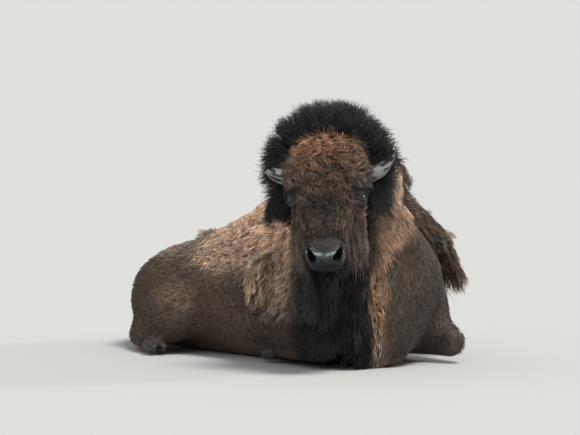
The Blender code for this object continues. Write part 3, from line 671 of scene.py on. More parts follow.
def face_marks(co, share):
    """A red-brown crown, a dark middle, grey-brown cheeks and a grey bridge."""
    q, across, down, height = head_measures(co)
    face = part_of(share, *FACE)
    yield "face", face
    red = soft(-down + 0.02 * ripple(co, 0.05, 3), 0.08, 0.2) * fall(across, 0.07, 0.125)
    yield "crown", face * red
    yield "crown_sides", face * soft(across, 0.08, 0.13) * soft(-down, 0.0, 0.06)
    dark = np.minimum(1, 1.5 * dent(q, (0.0, 0.026, 0.06), (0.056, 0.044, 0.08)))
    stem = bell(across, 0.015) * soft(down, 0.02, 0.05) * fall(down, 0.145, 0.17)
    yield "dark_middle", face * np.maximum(dark, 0.85 * stem), 0.92
    yield "cheeks", face * soft(across, 0.07, 0.1) * soft(down, 0.02, 0.07)
    yield "jowls", face * soft(across, 0.055, 0.08) * soft(-height, 0.13, 0.19)
    start = down - 0.55 * across + 0.012 * ripple(co, 0.03, 14)
    yield "low_face", face * soft(start, 0.085, 0.125) * fall(across, 0.06, 0.085) * 0.8
    yield "bridge", face * soft(start, 0.128, 0.166) * soft(q[:, 2], -0.03, 0.0)


def ruff_marks(co, share, band):
    """Black inside the ruff, browner at its rim, and black between the crown and the left horn."""
    height = height_of(co)
    rim = np.linalg.norm(radial_part(co), axis=1)
    ruff = soft(part_of(share, "ruff"), 0.15, 0.45) * (1 - band)
    yield "inside_ruff", ruff * fall(rim, 0.16, 0.24)
    yield "ruff_rim", ruff * soft(rim, 0.19, 0.28)
    corner = soft(head_places(co)[:, 0] - 0.089 - 0.95 * (0.214 - height), -0.012, 0.012)
    yield "over_horn", part_of(share, *FACE) * corner * soft(height, 0.1, 0.13)


def eye_marks(co, share):
    """A pale crest over each eye, and the bare dark skin and lids round it, with painted shade in the fold
    under the brow and in the creases of the lids.
    """
    q = head_places(co)
    height = height_of(co)
    yield "brow_crest", part_of(share, *FACE) * brow_crest(q, height)
    hollow = eye_hollow(co, q)
    yield "eye_hollow", hollow
    # Painted shade along the fold under the brow.
    yield "eye_fold_shade", hollow * bell(brow_line(q, height - 0.052), 0.0045)
    for side, centre in EYES:
        _, radius, opening, above, below, swing = round_eye(co, side, centre)
        near = hollow * (radius < 0.045) * (swing < math.radians(95))
        # Painted shade in the creases above and below the lids.
        creases = bell(above - 0.36, 0.09) + 0.7 * bell(below - 0.4, 0.09)
        yield "lid_crease_shade", near * creases
        yield "lid_edge", near * bell(opening + 0.13, 0.07) * (opening < 0.0)
        yield "eye_rim", near * soft(opening, -0.07, -0.02)
        yield "tear_track", near * soft(below, 0.5, 0.7) * fall(below, 1.1, 1.4) * 0.6


def nose_marks(tones, co):
    """A wet dark nose, painted lighter at the top as a reflection and darker lower down as shade, with a
    painted highlight along its upper rim, nostrils painted black as shade, and a chin darkened partly for
    its dark hair and partly as painted shade; also where the nose is bare, and its shine.
    """
    q, across, down, height = head_measures(co)
    pad = nose_pad(q)
    # The bare pad is painted lighter at the top as a painted reflection and near black lower down as painted
    # shade.
    lit_and_shaded_pad_tone = mixed(tone((50, 62, 59)), tone((3, 4, 4)), soft(-height, 0.19, 0.232)[:, None])
    lit_and_shaded_pad_tone = lit_and_shaded_pad_tone * (1 + 0.45 * ripple(co, 0.012, 71))[:, None]
    # A painted highlight along the upper rim of the nose pad; the rim is also made to shine more.
    rim_highlight = bell(-height - 0.1905 + 0.195 * across, 0.0048) * fall(across, 0.066, 0.076)
    rim_highlight = rim_highlight * (0.75 + 0.35 * ripple(co, 0.016, 72))
    rim_highlight = pad * rim_highlight * (1 - 0.75 * bell(across, 0.006))
    marks = [("lit_rim", rim_highlight)]
    gloss = pad * (0.12 + 0.88 * rim_highlight)
    for side in (1, -1):
        along, flat = nostril_places(q, side)[:2]
        # Painted shade: the inside of each nostril is painted black.
        inside = soft(along, -0.004, 0.012) * fall(nostril_comma(flat, side), 0.95, 1.35) * (along < 0.06)
        marks.append(("nostril", inside))
        gloss = gloss * (1 - inside)
    # The underside of the jaw is darkened, partly for its dark hair and partly as painted shade.
    under = soft(-q[:, 2], 0.06, 0.075) * soft(down, 0.1, 0.16) * (across < 0.11)
    marks.append(("chin", under))
    root, tip = marked([mixed(base, lit_and_shaded_pad_tone, pad[:, None]) for base in tones], marks)
    return root, tip, pad, gloss


def markings(co, way, share):
    """Root and tip colours of the coat at each place, where the nose is bare, and how it shines."""
    band = neck_band(co, share)
    root, tip = marked((share @ ROOTS, share @ TIPS), body_marks(co, share, band))
    patches = part_of(share, *BODY) * 0.25 * ripple(co, 0.16, 21)
    tones = root, tip * (1 + patches)[:, None]
    tones = marked(tones, wool_marks(co, way, share))
    tones = marked(tones, face_marks(co, share))
    tones = marked(tones, ruff_marks(co, share, band))
    tones = marked(tones, [("loin_tuft", fall(apart(co, LOIN_TUFT), 0.03, 0.05))])
    tones = marked(tones, eye_marks(co, share))
    return nose_marks(tones, co)


def shaded_flap_crease(co, way):
    """1 on the under side of the left flap where it leaves the shoulder, where the coat is painted dark as
    shade.
    """
    close = np.minimum.reduce([far_from(node, co) for node in ("neck", "hump", "chest")])
    facing = soft(dot(way, FLAP_UNDER), -0.25, 0.05)
    return fall(close, 0.018, 0.045) * facing * soft(co[:, 0], 0.05, 0.1)


def brow_line(q, height):
    """Height over a curve that arches over each eye."""
    return height + 6.0 * (np.abs(q[:, 0]) - 0.118) ** 2


def brow_crest(q, height):
    """1 along the crest of pale hair over each eye."""
    return soft(np.abs(q[:, 0]), 0.074, 0.09) * bell(brow_line(q, height - 0.067), 0.011) * (q[:, 2] > -0.1)


def eye_hollow(co, q):
    """1 over the bare dark skin round the eyes and under the brows."""
    across, height = np.abs(q[:, 0]), height_of(co)
    inner = soft(across - 0.082 - 0.45 * np.maximum(0.05 - height, 0), -0.004, 0.008)
    near = inner * soft(height, -0.03, -0.01) * fall(height, 0.053, 0.061) * soft(q[:, 2], -0.075, -0.05)
    near = near * fall(across, 0.146, 0.16)
    for _, centre in EYES:
        near = np.maximum(near, fall(apart(co, centre), 0.03, 0.046))
    return near


def radial_part(co):
    """From the ruff's middle outward, square to the way the head looks."""
    radial = co - np.array(RUFF_MIDDLE)
    forward = np.array(FORWARD)
    return radial - dot(radial, forward)[:, None] * forward


def nose_pad(q):
    """1 on the bare skin round the nostrils and the upper lip."""
    side = np.abs(q[:, 0])
    top = 0.22 + 0.01 * np.cos(side / 0.055 * math.pi)
    return soft(q[:, 1], top - 0.004, top + 0.006) * fall(side, 0.072, 0.086) * soft(q[:, 2], -0.08, -0.066)


def lie(co, share):
    """The way the coat is combed."""
    def steady(x, y, z):
        return np.tile(unit(np.array((x, y, z), float)), (len(co), 1))

    q = head_places(co)
    forward = np.array(FORWARD)
    radial = unit(radial_part(co))
    side = np.sign(q[:, 0])[:, None] * np.array(ACROSS)
    spread = soft(np.abs(q[:, 0]), 0.0, 0.08)[:, None]
    down = np.tile(np.array(DOWN_FACE), (len(co), 1)) + side * spread * 0.35
    low = soft(q[:, 1], 0.02, 0.12)[:, None] * soft(np.abs(q[:, 0]), 0.05, 0.09)[:, None]
    flap = FLAP_ALONG - UPWARD * 0.6 * fall(co[:, 2:], 0.34, 0.42)
    ways = {
        "ruff": radial - 0.3 * forward + np.array((0, 0, 0.1)),
        "ears": side * 0.74 + np.array((0, 0, -0.8)) - 0.06 * forward,
        "forelock": down * 0.6 + side * spread * 0.5,
        "head": mixed(down, steady(0, 0, -1), low),
        "muzzle": -down * 0.6 + side * 0.4,
        "lower_jaw": steady(0, 0, -1),
        "beard": steady(0, 0, -1),
        "throat_mane": steady(0, 0, -1),
        "neck": steady(0.05, 0.35, -0.9),
        "hump": steady(0, 0.8, -0.6),
        "chest": steady(0, 0.55, -0.85),
        "barrel": steady(0, 0.92, -0.4),
        "hindquarters": steady(0, 0.75, -0.65),
        "legs": steady(0, 0.35, -0.9),
        "tail": steady(0.35, 0.25, -0.9),
        "wool": np.where(co[:, :1] > 0, flap, CLUMP_ALONG),
        "bare": steady(0, 0, -1),
    }
    comb = sum(share[:, k : k + 1] * ways[g] for k, g in enumerate(GROUPS))
    swirl = ripple(co, 0.11, 31)[:, None] * rippled_three_ways(co, 0.14, 32)
    curly = part_of(share, "forelock")[:, None] * 0.7
    return comb + swirl * (0.22 + curly)


# ---- finishing the skin
def unwrapped(mesh):
    """A UV map named OFBake on the skin's own shape."""
    obj = new_object("skin", mesh)
    mesh.uv_layers.new(name="OFBake")
    bpy.context.view_layer.objects.active = obj
    obj.select_set(True)
    bpy.ops.object.mode_set(mode="EDIT")
    bpy.ops.mesh.select_all(action="SELECT")
    bpy.ops.uv.smart_project(angle_limit=math.radians(66), island_margin=0.002)
    bpy.ops.object.mode_set(mode="OBJECT")
    obj.select_set(False)
    return obj


def paint(mesh, name, colours):
    layer = mesh.color_attributes.new(name, "FLOAT_COLOR", "POINT")
    rgba = np.ones((len(colours), 4), np.float32)
    rgba[:, :3] = colours
    layer.data.foreach_set("color", rgba.ravel())


skin_mesh.shade_smooth()
skin = unwrapped(skin_mesh)
SKIN_CO, SKIN_PAIRS = places(skin_mesh), edges(skin_mesh)
SKIN_WAY = normals(skin_mesh)
SHARE = shares(SKIN_CO, SKIN_PAIRS, 6)
WIDE = smoothed(SHARE, SKIN_PAIRS, 8)
WIDE = mixed(WIDE, SHARE, soft(part_of(WIDE, *FACE), 0.0, 0.1)[:, None])
ROOT_TONE, TIP_TONE, PAD, WET = markings(SKIN_CO, SKIN_WAY, WIDE)
# The skin is painted near the dark root tone where the coat covers it, partly the roots' own colour and
# partly painted shade between the locks, and nearer the tip tone where it is seen.
SEEN = np.maximum.reduce([0.4 * short_share(SKIN_CO), PAD, 0.8 * eye_hollow(SKIN_CO, head_places(SKIN_CO))])
paint(skin_mesh, "Coat", mixed(ROOT_TONE, TIP_TONE, np.clip(0.1 + SEEN, 0, 1)[:, None]))
wet_layer = skin_mesh.attributes.new("Wet", "FLOAT", "POINT")
wet_layer.data.foreach_set("value", WET.astype(np.float32))


# ---- growing the coat
def curls(co, share):
    """How tightly the coat curls: the crown's curls, and the loose waves lower on the face."""
    q = head_places(co)
    crown = fall(q[:, 1], -0.02, 0.1)
    curl = part_of(share, *FACE) * (0.003 + 0.0045 * crown) * fall(q[:, 1], 0.13, 0.16)
    return np.maximum(curl, 0.004 * part_of(share, "wool"))


def coat_fields(co, way, share):
    """Everything a lock needs to know at its root, as one table, and how many stand on a square metre."""
    q, across, down, height = head_measures(co)
    face, wool = part_of(share, *FACE), part_of(share, "wool")
    short = part_of(share, *BODY) * short_share(co)
    beside = soft(ahead_of(co), 0.225, 0.27) * fall(co[:, 2], 0.36, 0.46) * fall(co[:, 1], -0.3, -0.2)
    crown = face * fall(down, -0.07, 0.02)
    bridge = face * soft(down + 0.012 * ripple(co, 0.03, 14), 0.118, 0.165)
    cheek_locks = face * soft(across, 0.066, 0.086) * soft(down, 0.02, 0.06)
    brows = face * soft(across, 0.068, 0.086) * soft(height, 0.03, 0.045) * fall(height, 0.088, 0.115)
    changes = (  # where, and the coat's numbers there
        (short, {"length": 0.021, "width": 0.003, "density": 23000, "wave": 0.0005, "clump": 0.15}),
        ((1 - face) * beside * (1 - short), {"length": 0.036, "wave": 0.002, "clump": 0.3}),
        (crown, {"length": 0.048, "width": 0.0025, "density": 47000}),
        (bridge, {"length": 0.011, "width": 0.0018}),
        (cheek_locks, {"length": 0.1, "width": 0.0028, "density": 30000, "wave": 0.011, "clump": 0.55}),
        (cheek_locks, {"rise": 0.022}),
        (wool * (co[:, 0] > 0), {"length": 0.08}),
        (soft(wool, 0.2, 0.5) * shaded_flap_crease(co, way), {"length": 0.03}),
        (fall(apart(co, LOIN_TUFT), 0.025, 0.042), {"length": 0.05, "density": 30000, "rise": 0.032}),
        (brows, {"length": 0.019, "rise": 0.008}),
        (eye_hollow(co, q), {"length": 0.008, "width": 0.0013, "rise": 0.002}),
    )
    numbers = share @ TABLE
    coat = {name: numbers[:, COLUMNS.index(name)] for name in COLUMNS[1:]}
    face_rise = mixed(0.0035, 0.014, np.clip(cheek_locks + crown, 0, 1))
    coat["rise"] = np.maximum(coat_depth(co, share), face_rise)
    for where, becomes in changes:
        for name, value in becomes.items():
            coat[name] = mixed(coat[name], value, where)
    density = coat["density"] * (1 - nose_pad(q))
    for _, centre in EYES:
        density = density * soft(apart(co, centre), 0.0255, 0.03)
    mouth = (np.abs(q[:, 2] + 0.075) < 0.008) & (down > 0.16) & (across < 0.1)
    underside = (way[:, 2] < -0.55) & (co[:, 2] < 0.07)
    density = density * ~mouth * (co[:, 2] > 0.012) * ~underside
    columns = [way, lie(co, share), ROOT_TONE, TIP_TONE]
    columns += [coat[name] for name in ("length", "width", "rise", "wave", "turns", "clump", "sag")]
    columns += [curls(co, share), short]
    return np.concatenate([c.reshape(len(co), -1) for c in columns], axis=1), density


def scattered(mesh, density):
    """Roots strewn over the skin: the triangle, and the shares of its corners."""
    mesh.calc_loop_triangles()
    triangles = mesh.loop_triangles
    corners, loops = read(triangles, "vertices", 3, np.int32), read(triangles, "loops", 3, np.int32)
    expected = np.cumsum(read(triangles, "area", 1)[:, 0] * density[corners].mean(axis=1))
    total = int(expected[-1])
    triangle = np.searchsorted(expected, RNG.uniform(0, expected[-1], total))
    triangle = np.minimum(triangle, len(triangles) - 1)
    a, b = np.sqrt(RNG.uniform(size=total)), RNG.uniform(size=total)
    bary = np.stack([1 - a, a * (1 - b), a * b], axis=1)
    return corners[triangle], loops[triangle], bary


def lock_centres(root, cell, seed):
    """Groups nearby roots into locks: the lock's number for each root."""
    warped = root + 0.35 * cell[:, None] * rippled_three_ways(root, 0.05, seed)
    steps = np.round(np.log2(cell / 0.008) * 2).astype(int)
    size = 0.008 * 2.0 ** (steps / 2)
    keys = np.concatenate([np.floor(warped / size[:, None]).astype(int), steps[:, None]], axis=1)
    _, lock = np.unique(keys, axis=0, return_inverse=True)
    return lock.ravel()


def grown_locks(root, f, steps, seed):
    """The centre lines of the locks, their width along them, and their colours."""
    draw = np.random.default_rng(seed)
    n = len(root)
    way, comb = unit(f[:, 0:3]), f[:, 3:6]
    root_tone, tip_tone = f[:, 6:9], f[:, 9:12]
    length, width, rise, wave, turns, clump, sag, curl, short = f[:, 12:21].T
    cell = np.clip(0.3 * length + 0.004, 0.008, 0.03)
    lock = lock_centres(root, cell, seed)
    locks = lock.max() + 1
    lean = draw.normal(size=(locks, 3))[lock] * 0.22 + draw.normal(size=(n, 3)) * 0.16
    comb = comb + lean * (1 - 0.6 * short[:, None])
    flat = comb - dot(comb, way)[:, None] * way
    flat = unit(flat + 1e-4)
    side = np.cross(way, flat)
    length = length * draw.uniform(0.72, 1.18, n) * draw.uniform(0.85, 1.15, locks)[lock]
    high = rise * draw.uniform(0.65, 1.22, n) * draw.uniform(0.82, 1.15, locks)[lock]
    high = np.minimum(high, 0.95 * length)
    reach = np.sqrt(np.maximum(length**2 - high**2, (0.3 * length) ** 2))
    t = np.linspace(0, 1, steps + 1)
    phase = draw.uniform(0, 2 * math.pi, locks)[lock] + draw.normal(size=n) * 0.5
    turn = turns * draw.uniform(0.8, 1.2, n)
    angle = 2 * math.pi * turn[:, None] * t + phase[:, None]
    up = high[:, None] * (1 - (1 - t) ** 1.7) - 0.002
    out = reach[:, None] * t**1.1
    sway = wave[:, None] * np.sin(angle) * t**0.8
    spiral = curl[:, None] * np.minimum(1, 2.2 * t)
    sway = sway + spiral * np.sin(angle)
    up = up + spiral * (np.cos(angle) * 0.8 + 0.2) + 0.35 * wave[:, None] * np.cos(angle * 1.3) * t
    line = root[:, None] + way[:, None] * up[..., None] + flat[:, None] * out[..., None]
    line = line + side[:, None] * sway[..., None]
    line[..., 2] -= (sag * length)[:, None] * t**2
    members = np.bincount(lock, minlength=locks).astype(float)
    for k in range(1, steps + 1):
        total = np.stack([np.bincount(lock, line[:, k, c], locks) for c in range(3)], axis=1)
        pull = (clump * t[k] ** 1.4)[:, None]
        line[:, k] = mixed(line[:, k], (total / members[:, None])[lock], pull)
    taper = np.sqrt(np.maximum(1 - t, 0)) * (0.75 + 0.55 * t)
    half = 0.5 * width[:, None] * draw.uniform(0.75, 1.25, n)[:, None] * taper
    uneven = 0.26 + 0.9 * np.maximum(clump - 0.6, 0)
    light = np.exp(draw.normal(size=locks)[lock] * uneven + draw.normal(size=n) * 0.22 * (1 + 150 * curl))
    warm = draw.normal(size=n) * 0.05
    # Dark at the root and lighter to the tip: partly the hair's own colour, partly painted shade deep in the
    # coat.
    share = t**1.4
    tones = mixed(root_tone[:, None], tip_tone[:, None], share[None, :, None]) * light[:, None, None]
    tones = tones * (1 + warm[:, None, None] * np.array((1.0, 0.1, -0.8)))
    return line, half, tones, way


def lock_mesh(name, line, half, colour, way, uv, steps):
    """Three-sided tapered locks as one mesh, each with its own patch of the unwrap."""
    n = len(line)
    along = np.empty_like(line)
    along[:, 1:-1] = line[:, 2:] - line[:, :-2]
    along[:, 0] = line[:, 1] - line[:, 0]
    along[:, -1] = line[:, -1] - line[:, -2]
    along = unit(along)
    side = unit(np.cross(along, way[:, None]) + 1e-6)
    top = np.cross(side, along)
    per = 3 * steps + 1
    verts = np.empty((n, per, 3))
    tones = np.empty((n, per, 3))
    patch = np.empty((n, per, 2))
    for k in range(steps):
        for j in range(3):
            turn = 2 * math.pi * j / 3 + math.pi / 2
            offset = side[:, k] * math.cos(turn) + top[:, k] * math.sin(turn) * 0.7
            verts[:, 3 * k + j] = line[:, k] + offset * half[:, k, None]
            tones[:, 3 * k + j] = colour[:, k]
            patch[:, 3 * k + j] = uv + np.array((k / steps - 0.5, (j - 1) / 2)) * PATCH
    verts[:, -1], tones[:, -1] = line[:, -1], colour[:, -1]
    patch[:, -1] = uv + np.array((0.5, 0.0)) * PATCH
    verts = np.clip(verts, LOWEST, HIGHEST)
    faces = [(0, 2, 1)]
    for k in range(steps - 1):
        for j in range(3):
            a, b = 3 * k + j, 3 * k + (j + 1) % 3
            faces += [(a, b, b + 3), (a, b + 3, a + 3)]
    last = 3 * (steps - 1)
    faces += [(last + j, last + (j + 1) % 3, per - 1) for j in range(3)]
    faces = np.array(faces)
    corners = (faces[None] + (np.arange(n) * per)[:, None, None]).reshape(-1, 3)
    mesh = bpy.data.meshes.new(name)
    mesh.vertices.add(n * per)
    mesh.vertices.foreach_set("co", verts.astype(np.float32).ravel())
    mesh.loops.add(corners.size)
    mesh.loops.foreach_set("vertex_index", corners.astype(np.int32).ravel())
    mesh.polygons.add(len(corners))
    mesh.polygons.foreach_set("loop_start", np.arange(0, corners.size, 3, dtype=np.int32))
    mesh.update(calc_edges=True)
    mesh.polygons.foreach_set("use_smooth", np.ones(len(corners), bool))
    unwrap = np.clip(patch, 0, 1).reshape(-1, 2)[corners.ravel()]
    layer = mesh.uv_layers.new(name="OFBake")
    layer.data.foreach_set("uv", unwrap.astype(np.float32).ravel())
    paint(mesh, "Coat", tones.reshape(-1, 3))
    return mesh


# ---- materials
def shader_material(name, roughness, specular=0.5):
    material = bpy.data.materials.new(name)
    material.use_nodes = True
    tree = material.node_tree
    shader = tree.nodes["Principled BSDF"]
    shader.inputs["Roughness"].default_value = roughness
    shader.inputs["Specular IOR Level"].default_value = specular
    return material, tree, shader


def painted(tree, name="Coat"):
    node = tree.nodes.new("ShaderNodeAttribute")
    node.attribute_name = name
    return node


def added(tree, kind, **inputs):
    """A new shader node whose inputs are plain values or other nodes' outputs."""
    node = tree.nodes.new(kind)
    for name, value in inputs.items():
        socket = node.inputs[name.replace("_", " ")]
        if isinstance(value, bpy.types.NodeSocket):
            tree.links.new(value, socket)
        else:
            socket.default_value = value
    return node


def own_space(tree):
    return tree.nodes.new("ShaderNodeTexCoord").outputs["Object"]


def noise(tree, scale, detail=3.0, stretch=(1, 1, 1)):
    """Noise in the object's own space."""
    stretched = added(tree, "ShaderNodeMapping", Vector=own_space(tree), Scale=stretch).outputs["Vector"]
    return added(tree, "ShaderNodeTexNoise", Vector=stretched, Scale=scale, Detail=detail).outputs["Fac"]


def graded(tree, value, low, high):
    return added(tree, "ShaderNodeMapRange", Value=value, To_Min=low, To_Max=high).outputs["Result"]


def coloured(tree, shader, grain, low, high):
    """The painted colour, times a factor that runs between these two with the grain."""
    node = tree.nodes.new("ShaderNodeVectorMath")
    node.operation = "SCALE"
    tree.links.new(painted(tree).outputs["Color"], node.inputs[0])
    tree.links.new(graded(tree, grain, low, high), node.inputs["Scale"])
    tree.links.new(node.outputs["Vector"], shader.inputs["Base Color"])


def bumped(tree, shader, height, strength, distance):
    bump = added(tree, "ShaderNodeBump", Height=height, Strength=strength, Distance=distance)
    tree.links.new(bump.outputs["Normal"], shader.inputs["Normal"])


def coat_material(name, roughness, sheen, specular=0.35):
    material, tree, shader = shader_material(name, roughness, specular)
    coloured(tree, shader, noise(tree, 90.0), 0.7, 1.3)
    shader.inputs["Sheen Weight"].default_value = sheen
    shader.inputs["Sheen Roughness"].default_value = 0.5
    return material


def skin_material():
    """Short hair as a fine grain over the coat's markings, and a pebbled wet nose."""
    material, tree, shader = shader_material("skin", 0.75, 0.25)
    grain = noise(tree, 420.0, 4.0, (1.0, 0.45, 1.0))
    coloured(tree, shader, grain, 0.6, 1.4)
    wet = painted(tree, "Wet").outputs["Fac"]
    tree.links.new(graded(tree, wet, 0.75, 0.22), shader.inputs["Roughness"])
    tree.links.new(wet, shader.inputs["Coat Weight"])
    shader.inputs["Coat Roughness"].default_value = 0.1
    pebbles = added(tree, "ShaderNodeTexVoronoi", Vector=own_space(tree), Scale=260.0).outputs["Distance"]
    height = added(tree, "ShaderNodeMix", Factor=wet, A=grain, B=pebbles).outputs["Result"]
    bumped(tree, shader, height, 0.6, 0.0022)
    return material


def horn_material(name, roughness, specular=0.5):
    material, tree, shader = shader_material(name, roughness, specular)
    streaks = noise(tree, 160.0, 5.0)
    coloured(tree, shader, streaks, 0.55, 1.45)
    bumped(tree, shader, streaks, 0.9, 0.003)
    return material


def eye_material():
    material, tree, shader = shader_material("eye", 0.05, 0.45)
    coloured(tree, shader, noise(tree, 300.0), 0.8, 1.2)
    shader.inputs["Coat Weight"].default_value = 0.2
    shader.inputs["Coat Roughness"].default_value = 0.02
    return material


# ---- the pieces
def dress(obj, material, slot, nodes=()):
    obj.data.materials.clear()
    obj.data.materials.append(material)
    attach(obj, "root")
    if nodes:
        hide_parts(*nodes)


PAST_SOLIDS, OFF_FLOOR = 0.004, 0.002  # how far tips may pass the solids' box, and stay above the floor
LOWEST = np.array(cad_box[0]) + np.array((-PAST_SOLIDS, -PAST_SOLIDS, OFF_FLOOR))
HIGHEST = np.array(cad_box[1]) + PAST_SOLIDS
FLESH = [n for n in NODES if n.split("_")[0] not in ("horn", "claw", "eye")]
dress(skin, skin_material(), "short_coat", FLESH)

FIELDS, SPREAD = coat_fields(SKIN_CO, SKIN_WAY, SHARE)
corner_ids, corner_loops, bary = scattered(skin_mesh, SPREAD)
UVS = read(skin_mesh.uv_layers["OFBake"].data, "uv", 2, np.float32)


def at_roots(table, ids):
    return np.einsum("ij,ijk->ik", bary, table[ids])


def worn_by(*coats):
    return np.isin(GROUP_AT, [GROUPS.index(g) for g in coats])


ROOT_AT = at_roots(SKIN_CO, corner_ids)
FIELDS_AT = at_roots(FIELDS, corner_ids)
UV_AT = at_roots(UVS, corner_loops)
GROUP_AT = at_roots(SHARE, corner_ids).argmax(axis=1)
CURL_AT, SHORT_AT = FIELDS_AT[:, -2:].T
CROWN_CURL = 0.0052
IS_SHORT = (SHORT_AT > 0.5) & ~worn_by("forelock", "head", "wool", "ruff", "ears")
IS_CROWN = (CURL_AT > CROWN_CURL) & worn_by("forelock", "head")
KIND_AT = np.where(IS_SHORT, "short", np.where(IS_CROWN, "crown", "rest"))

KINDS = (  # name, slot, which coats, segments, and which of their locks: the short, the crown's or the rest
    ("ruff_coat", "dark_wool", ("ruff",), 3, "rest"),
    ("ear_coat", "dark_wool", ("ears",), 4, "rest"),
    ("mane_coat", "dark_wool", ("lower_jaw", "beard", "throat_mane"), 4, "rest"),
    ("crown_coat", "face_wool", ("forelock", "head"), 5, "crown"),
    ("face_coat", "face_wool", ("forelock", "head", "muzzle"), 4, "rest"),
    ("shoulder_coat", "body_wool", ("neck", "hump"), 4, "rest"),
    ("chest_coat", "body_wool", ("chest",), 4, "rest"),
    ("flank_coat", "body_wool", ("barrel",), 4, "rest"),
    ("rump_coat", "body_wool", ("hindquarters", "tail"), 4, "rest"),
    ("smooth_coat", "short_coat", (*BODY, "tail"), 2, "short"),
    ("leg_coat", "short_coat", ("legs",), 3, "rest"),
    ("shed_coat", "shed_wool", ("wool",), 4, "rest"),
)
MOST_TRIANGLES = 190000
WOOLS = {
    "dark_wool": coat_material("dark_wool", 0.66, 0.04, 0.25),
    "face_wool": coat_material("face_wool", 0.72, 0.1),
    "body_wool": coat_material("body_wool", 0.78, 0.35),
    "short_coat": coat_material("short_coat", 0.62, 0.1),
    "shed_wool": coat_material("shed_wool", 0.8, 0.2),
}
for order, (name, slot, coats, steps, kind) in enumerate(KINDS):
    picked = np.flatnonzero(worn_by(*coats) & (KIND_AT == kind))
    picked = picked[np.argsort(ROOT_AT[picked, 0], kind="stable")]
    each = (steps - 1) * 6 + 4
    parts = math.ceil(len(picked) * each / MOST_TRIANGLES)
    for part, ids in enumerate(np.array_split(picked, parts)):
        locks = grown_locks(ROOT_AT[ids], FIELDS_AT[ids], steps, 100 * order + part)
        mesh = lock_mesh(f"{name}_{part + 1}", *locks, UV_AT[ids], steps)
        dress(new_object(mesh.name, mesh), WOOLS[slot], slot)


# ---- horns, eyes and claws
def through_rows(rows, steps):
    """A smooth curve through rows of numbers (Catmull-Rom), with this many steps between rows."""
    rows = np.array(rows, float)
    padded = np.vstack([2 * rows[0] - rows[1], rows, 2 * rows[-1] - rows[-2]])
    curve = []
    for i in range(1, len(padded) - 2):
        before, here, after, beyond = padded[i - 1 : i + 3]
        square = before - 2.5 * here + 2 * after - 0.5 * beyond
        cube = 1.5 * (here - after) + 0.5 * (beyond - before)
        for t in np.arange(steps) / steps:
            curve.append(here + 0.5 * t * (after - before) + t**2 * square + t**3 * cube)
    curve.append(rows[-1])
    return np.array(curve)


def finished(work, name):
    """A smooth mesh of what was worked on."""
    bmesh.ops.recalc_face_normals(work, faces=work.faces)
    mesh = bpy.data.meshes.new(name)
    work.to_mesh(mesh)
    work.free()
    mesh.shade_smooth()
    return mesh


HORN_SEAT = (0.128, -0.11, -0.022)
HORN_BASE = 0.031
HORN_SIDES, HORN_STEPS = 56, 18
RIGHT_HORN = (0.88, 0.48)  # its spread and upturn beside the left one's
HORN_LINE = (
    (-0.035, 0.006, 0.0, 1.0),
    (0.02, 0.0, 0.004, 0.98),
    (0.062, -0.014, 0.012, 0.82),
    (0.092, -0.042, 0.018, 0.6),
    (0.108, -0.074, 0.016, 0.36),
    (0.112, -0.108, 0.008, 0.07),
)


def horn(side, node):
    """A ringed, streaked horn along the same line as its solid."""
    rows = through_rows(HORN_LINE, HORN_STEPS)
    spread, upturn = (1.0, 1.0) if side > 0 else RIGHT_HORN
    across, down, out = HORN_SEAT
    line = [(across + a * spread, down + d * upturn, out + o) for a, d, o, _ in rows]
    centres = np.array([on_head(side * a, d, o) for a, d, o in line])
    along = unit(np.gradient(centres, axis=0))
    first = unit(np.cross(along, np.array(OUT_OF_FACE)))
    second = np.cross(along, first)
    length = np.linspace(0, 1, len(rows))
    turn = 2 * math.pi * np.arange(HORN_SIDES) / HORN_SIDES
    ringed = 1 + 0.03 * np.sin(length * 95) * np.maximum(0.0, 1 - length * 1.6)
    ridge = 1 + 0.012 * np.sin(turn * 11 + 3 * length[:, None])
    radius = HORN_BASE * 0.985 * (rows[:, 3] * ringed)[:, None] * ridge
    spoke = first[:, None] * np.cos(turn)[:, None] + second[:, None] * np.sin(turn)[:, None]
    verts = (centres[:, None] + spoke * radius[..., None]).reshape(-1, 3)
    where, facing = np.repeat(length, HORN_SIDES), np.tile(turn, len(rows))
    around = np.stack([np.cos(facing) * 0.022, np.sin(facing) * 0.022, where * 0.075], axis=1)
    streak = 0.5 + 0.5 * ripple(around, 0.009, 61)
    outward = (verts - np.repeat(centres, HORN_SIDES, axis=0)) / HORN_BASE
    above = dot(unit(outward), unit(np.array(PLUMB) - np.array(ACROSS) * side * 0.8))
    black = soft(where, 0.46, 0.6) * soft(above + 0.8 * (streak - 0.5), -0.35, 0.05)
    black = np.clip(np.maximum(black, 0.9 * soft(streak, 0.6, 0.68)), 0, 1)[:, None]
    tones = mixed(tone((215, 210, 195)), tone((5, 6, 6)), black) * (1.15 - 0.6 * streak)[:, None]
    tones = mixed(tones, tone((500, 490, 450)), soft(where, 0.93, 0.98)[:, None])
    tones = mixed(tones, tone((60, 50, 45)), fall(where, 0.22, 0.34)[:, None] * 0.8)
    work = bmesh.new()
    made = [work.verts.new(v) for v in verts]
    for i in range(len(rows) - 1):
        for j in range(HORN_SIDES):
            a, b = i * HORN_SIDES + j, i * HORN_SIDES + (j + 1) % HORN_SIDES
            work.faces.new((made[a], made[b], made[b + HORN_SIDES], made[a + HORN_SIDES]))
    work.faces.new(made[:HORN_SIDES][::-1])
    work.faces.new(made[-HORN_SIDES:])
    mesh = finished(work, node + "_look")
    paint(mesh, "Coat", tones)
    return new_object(mesh.name, mesh)


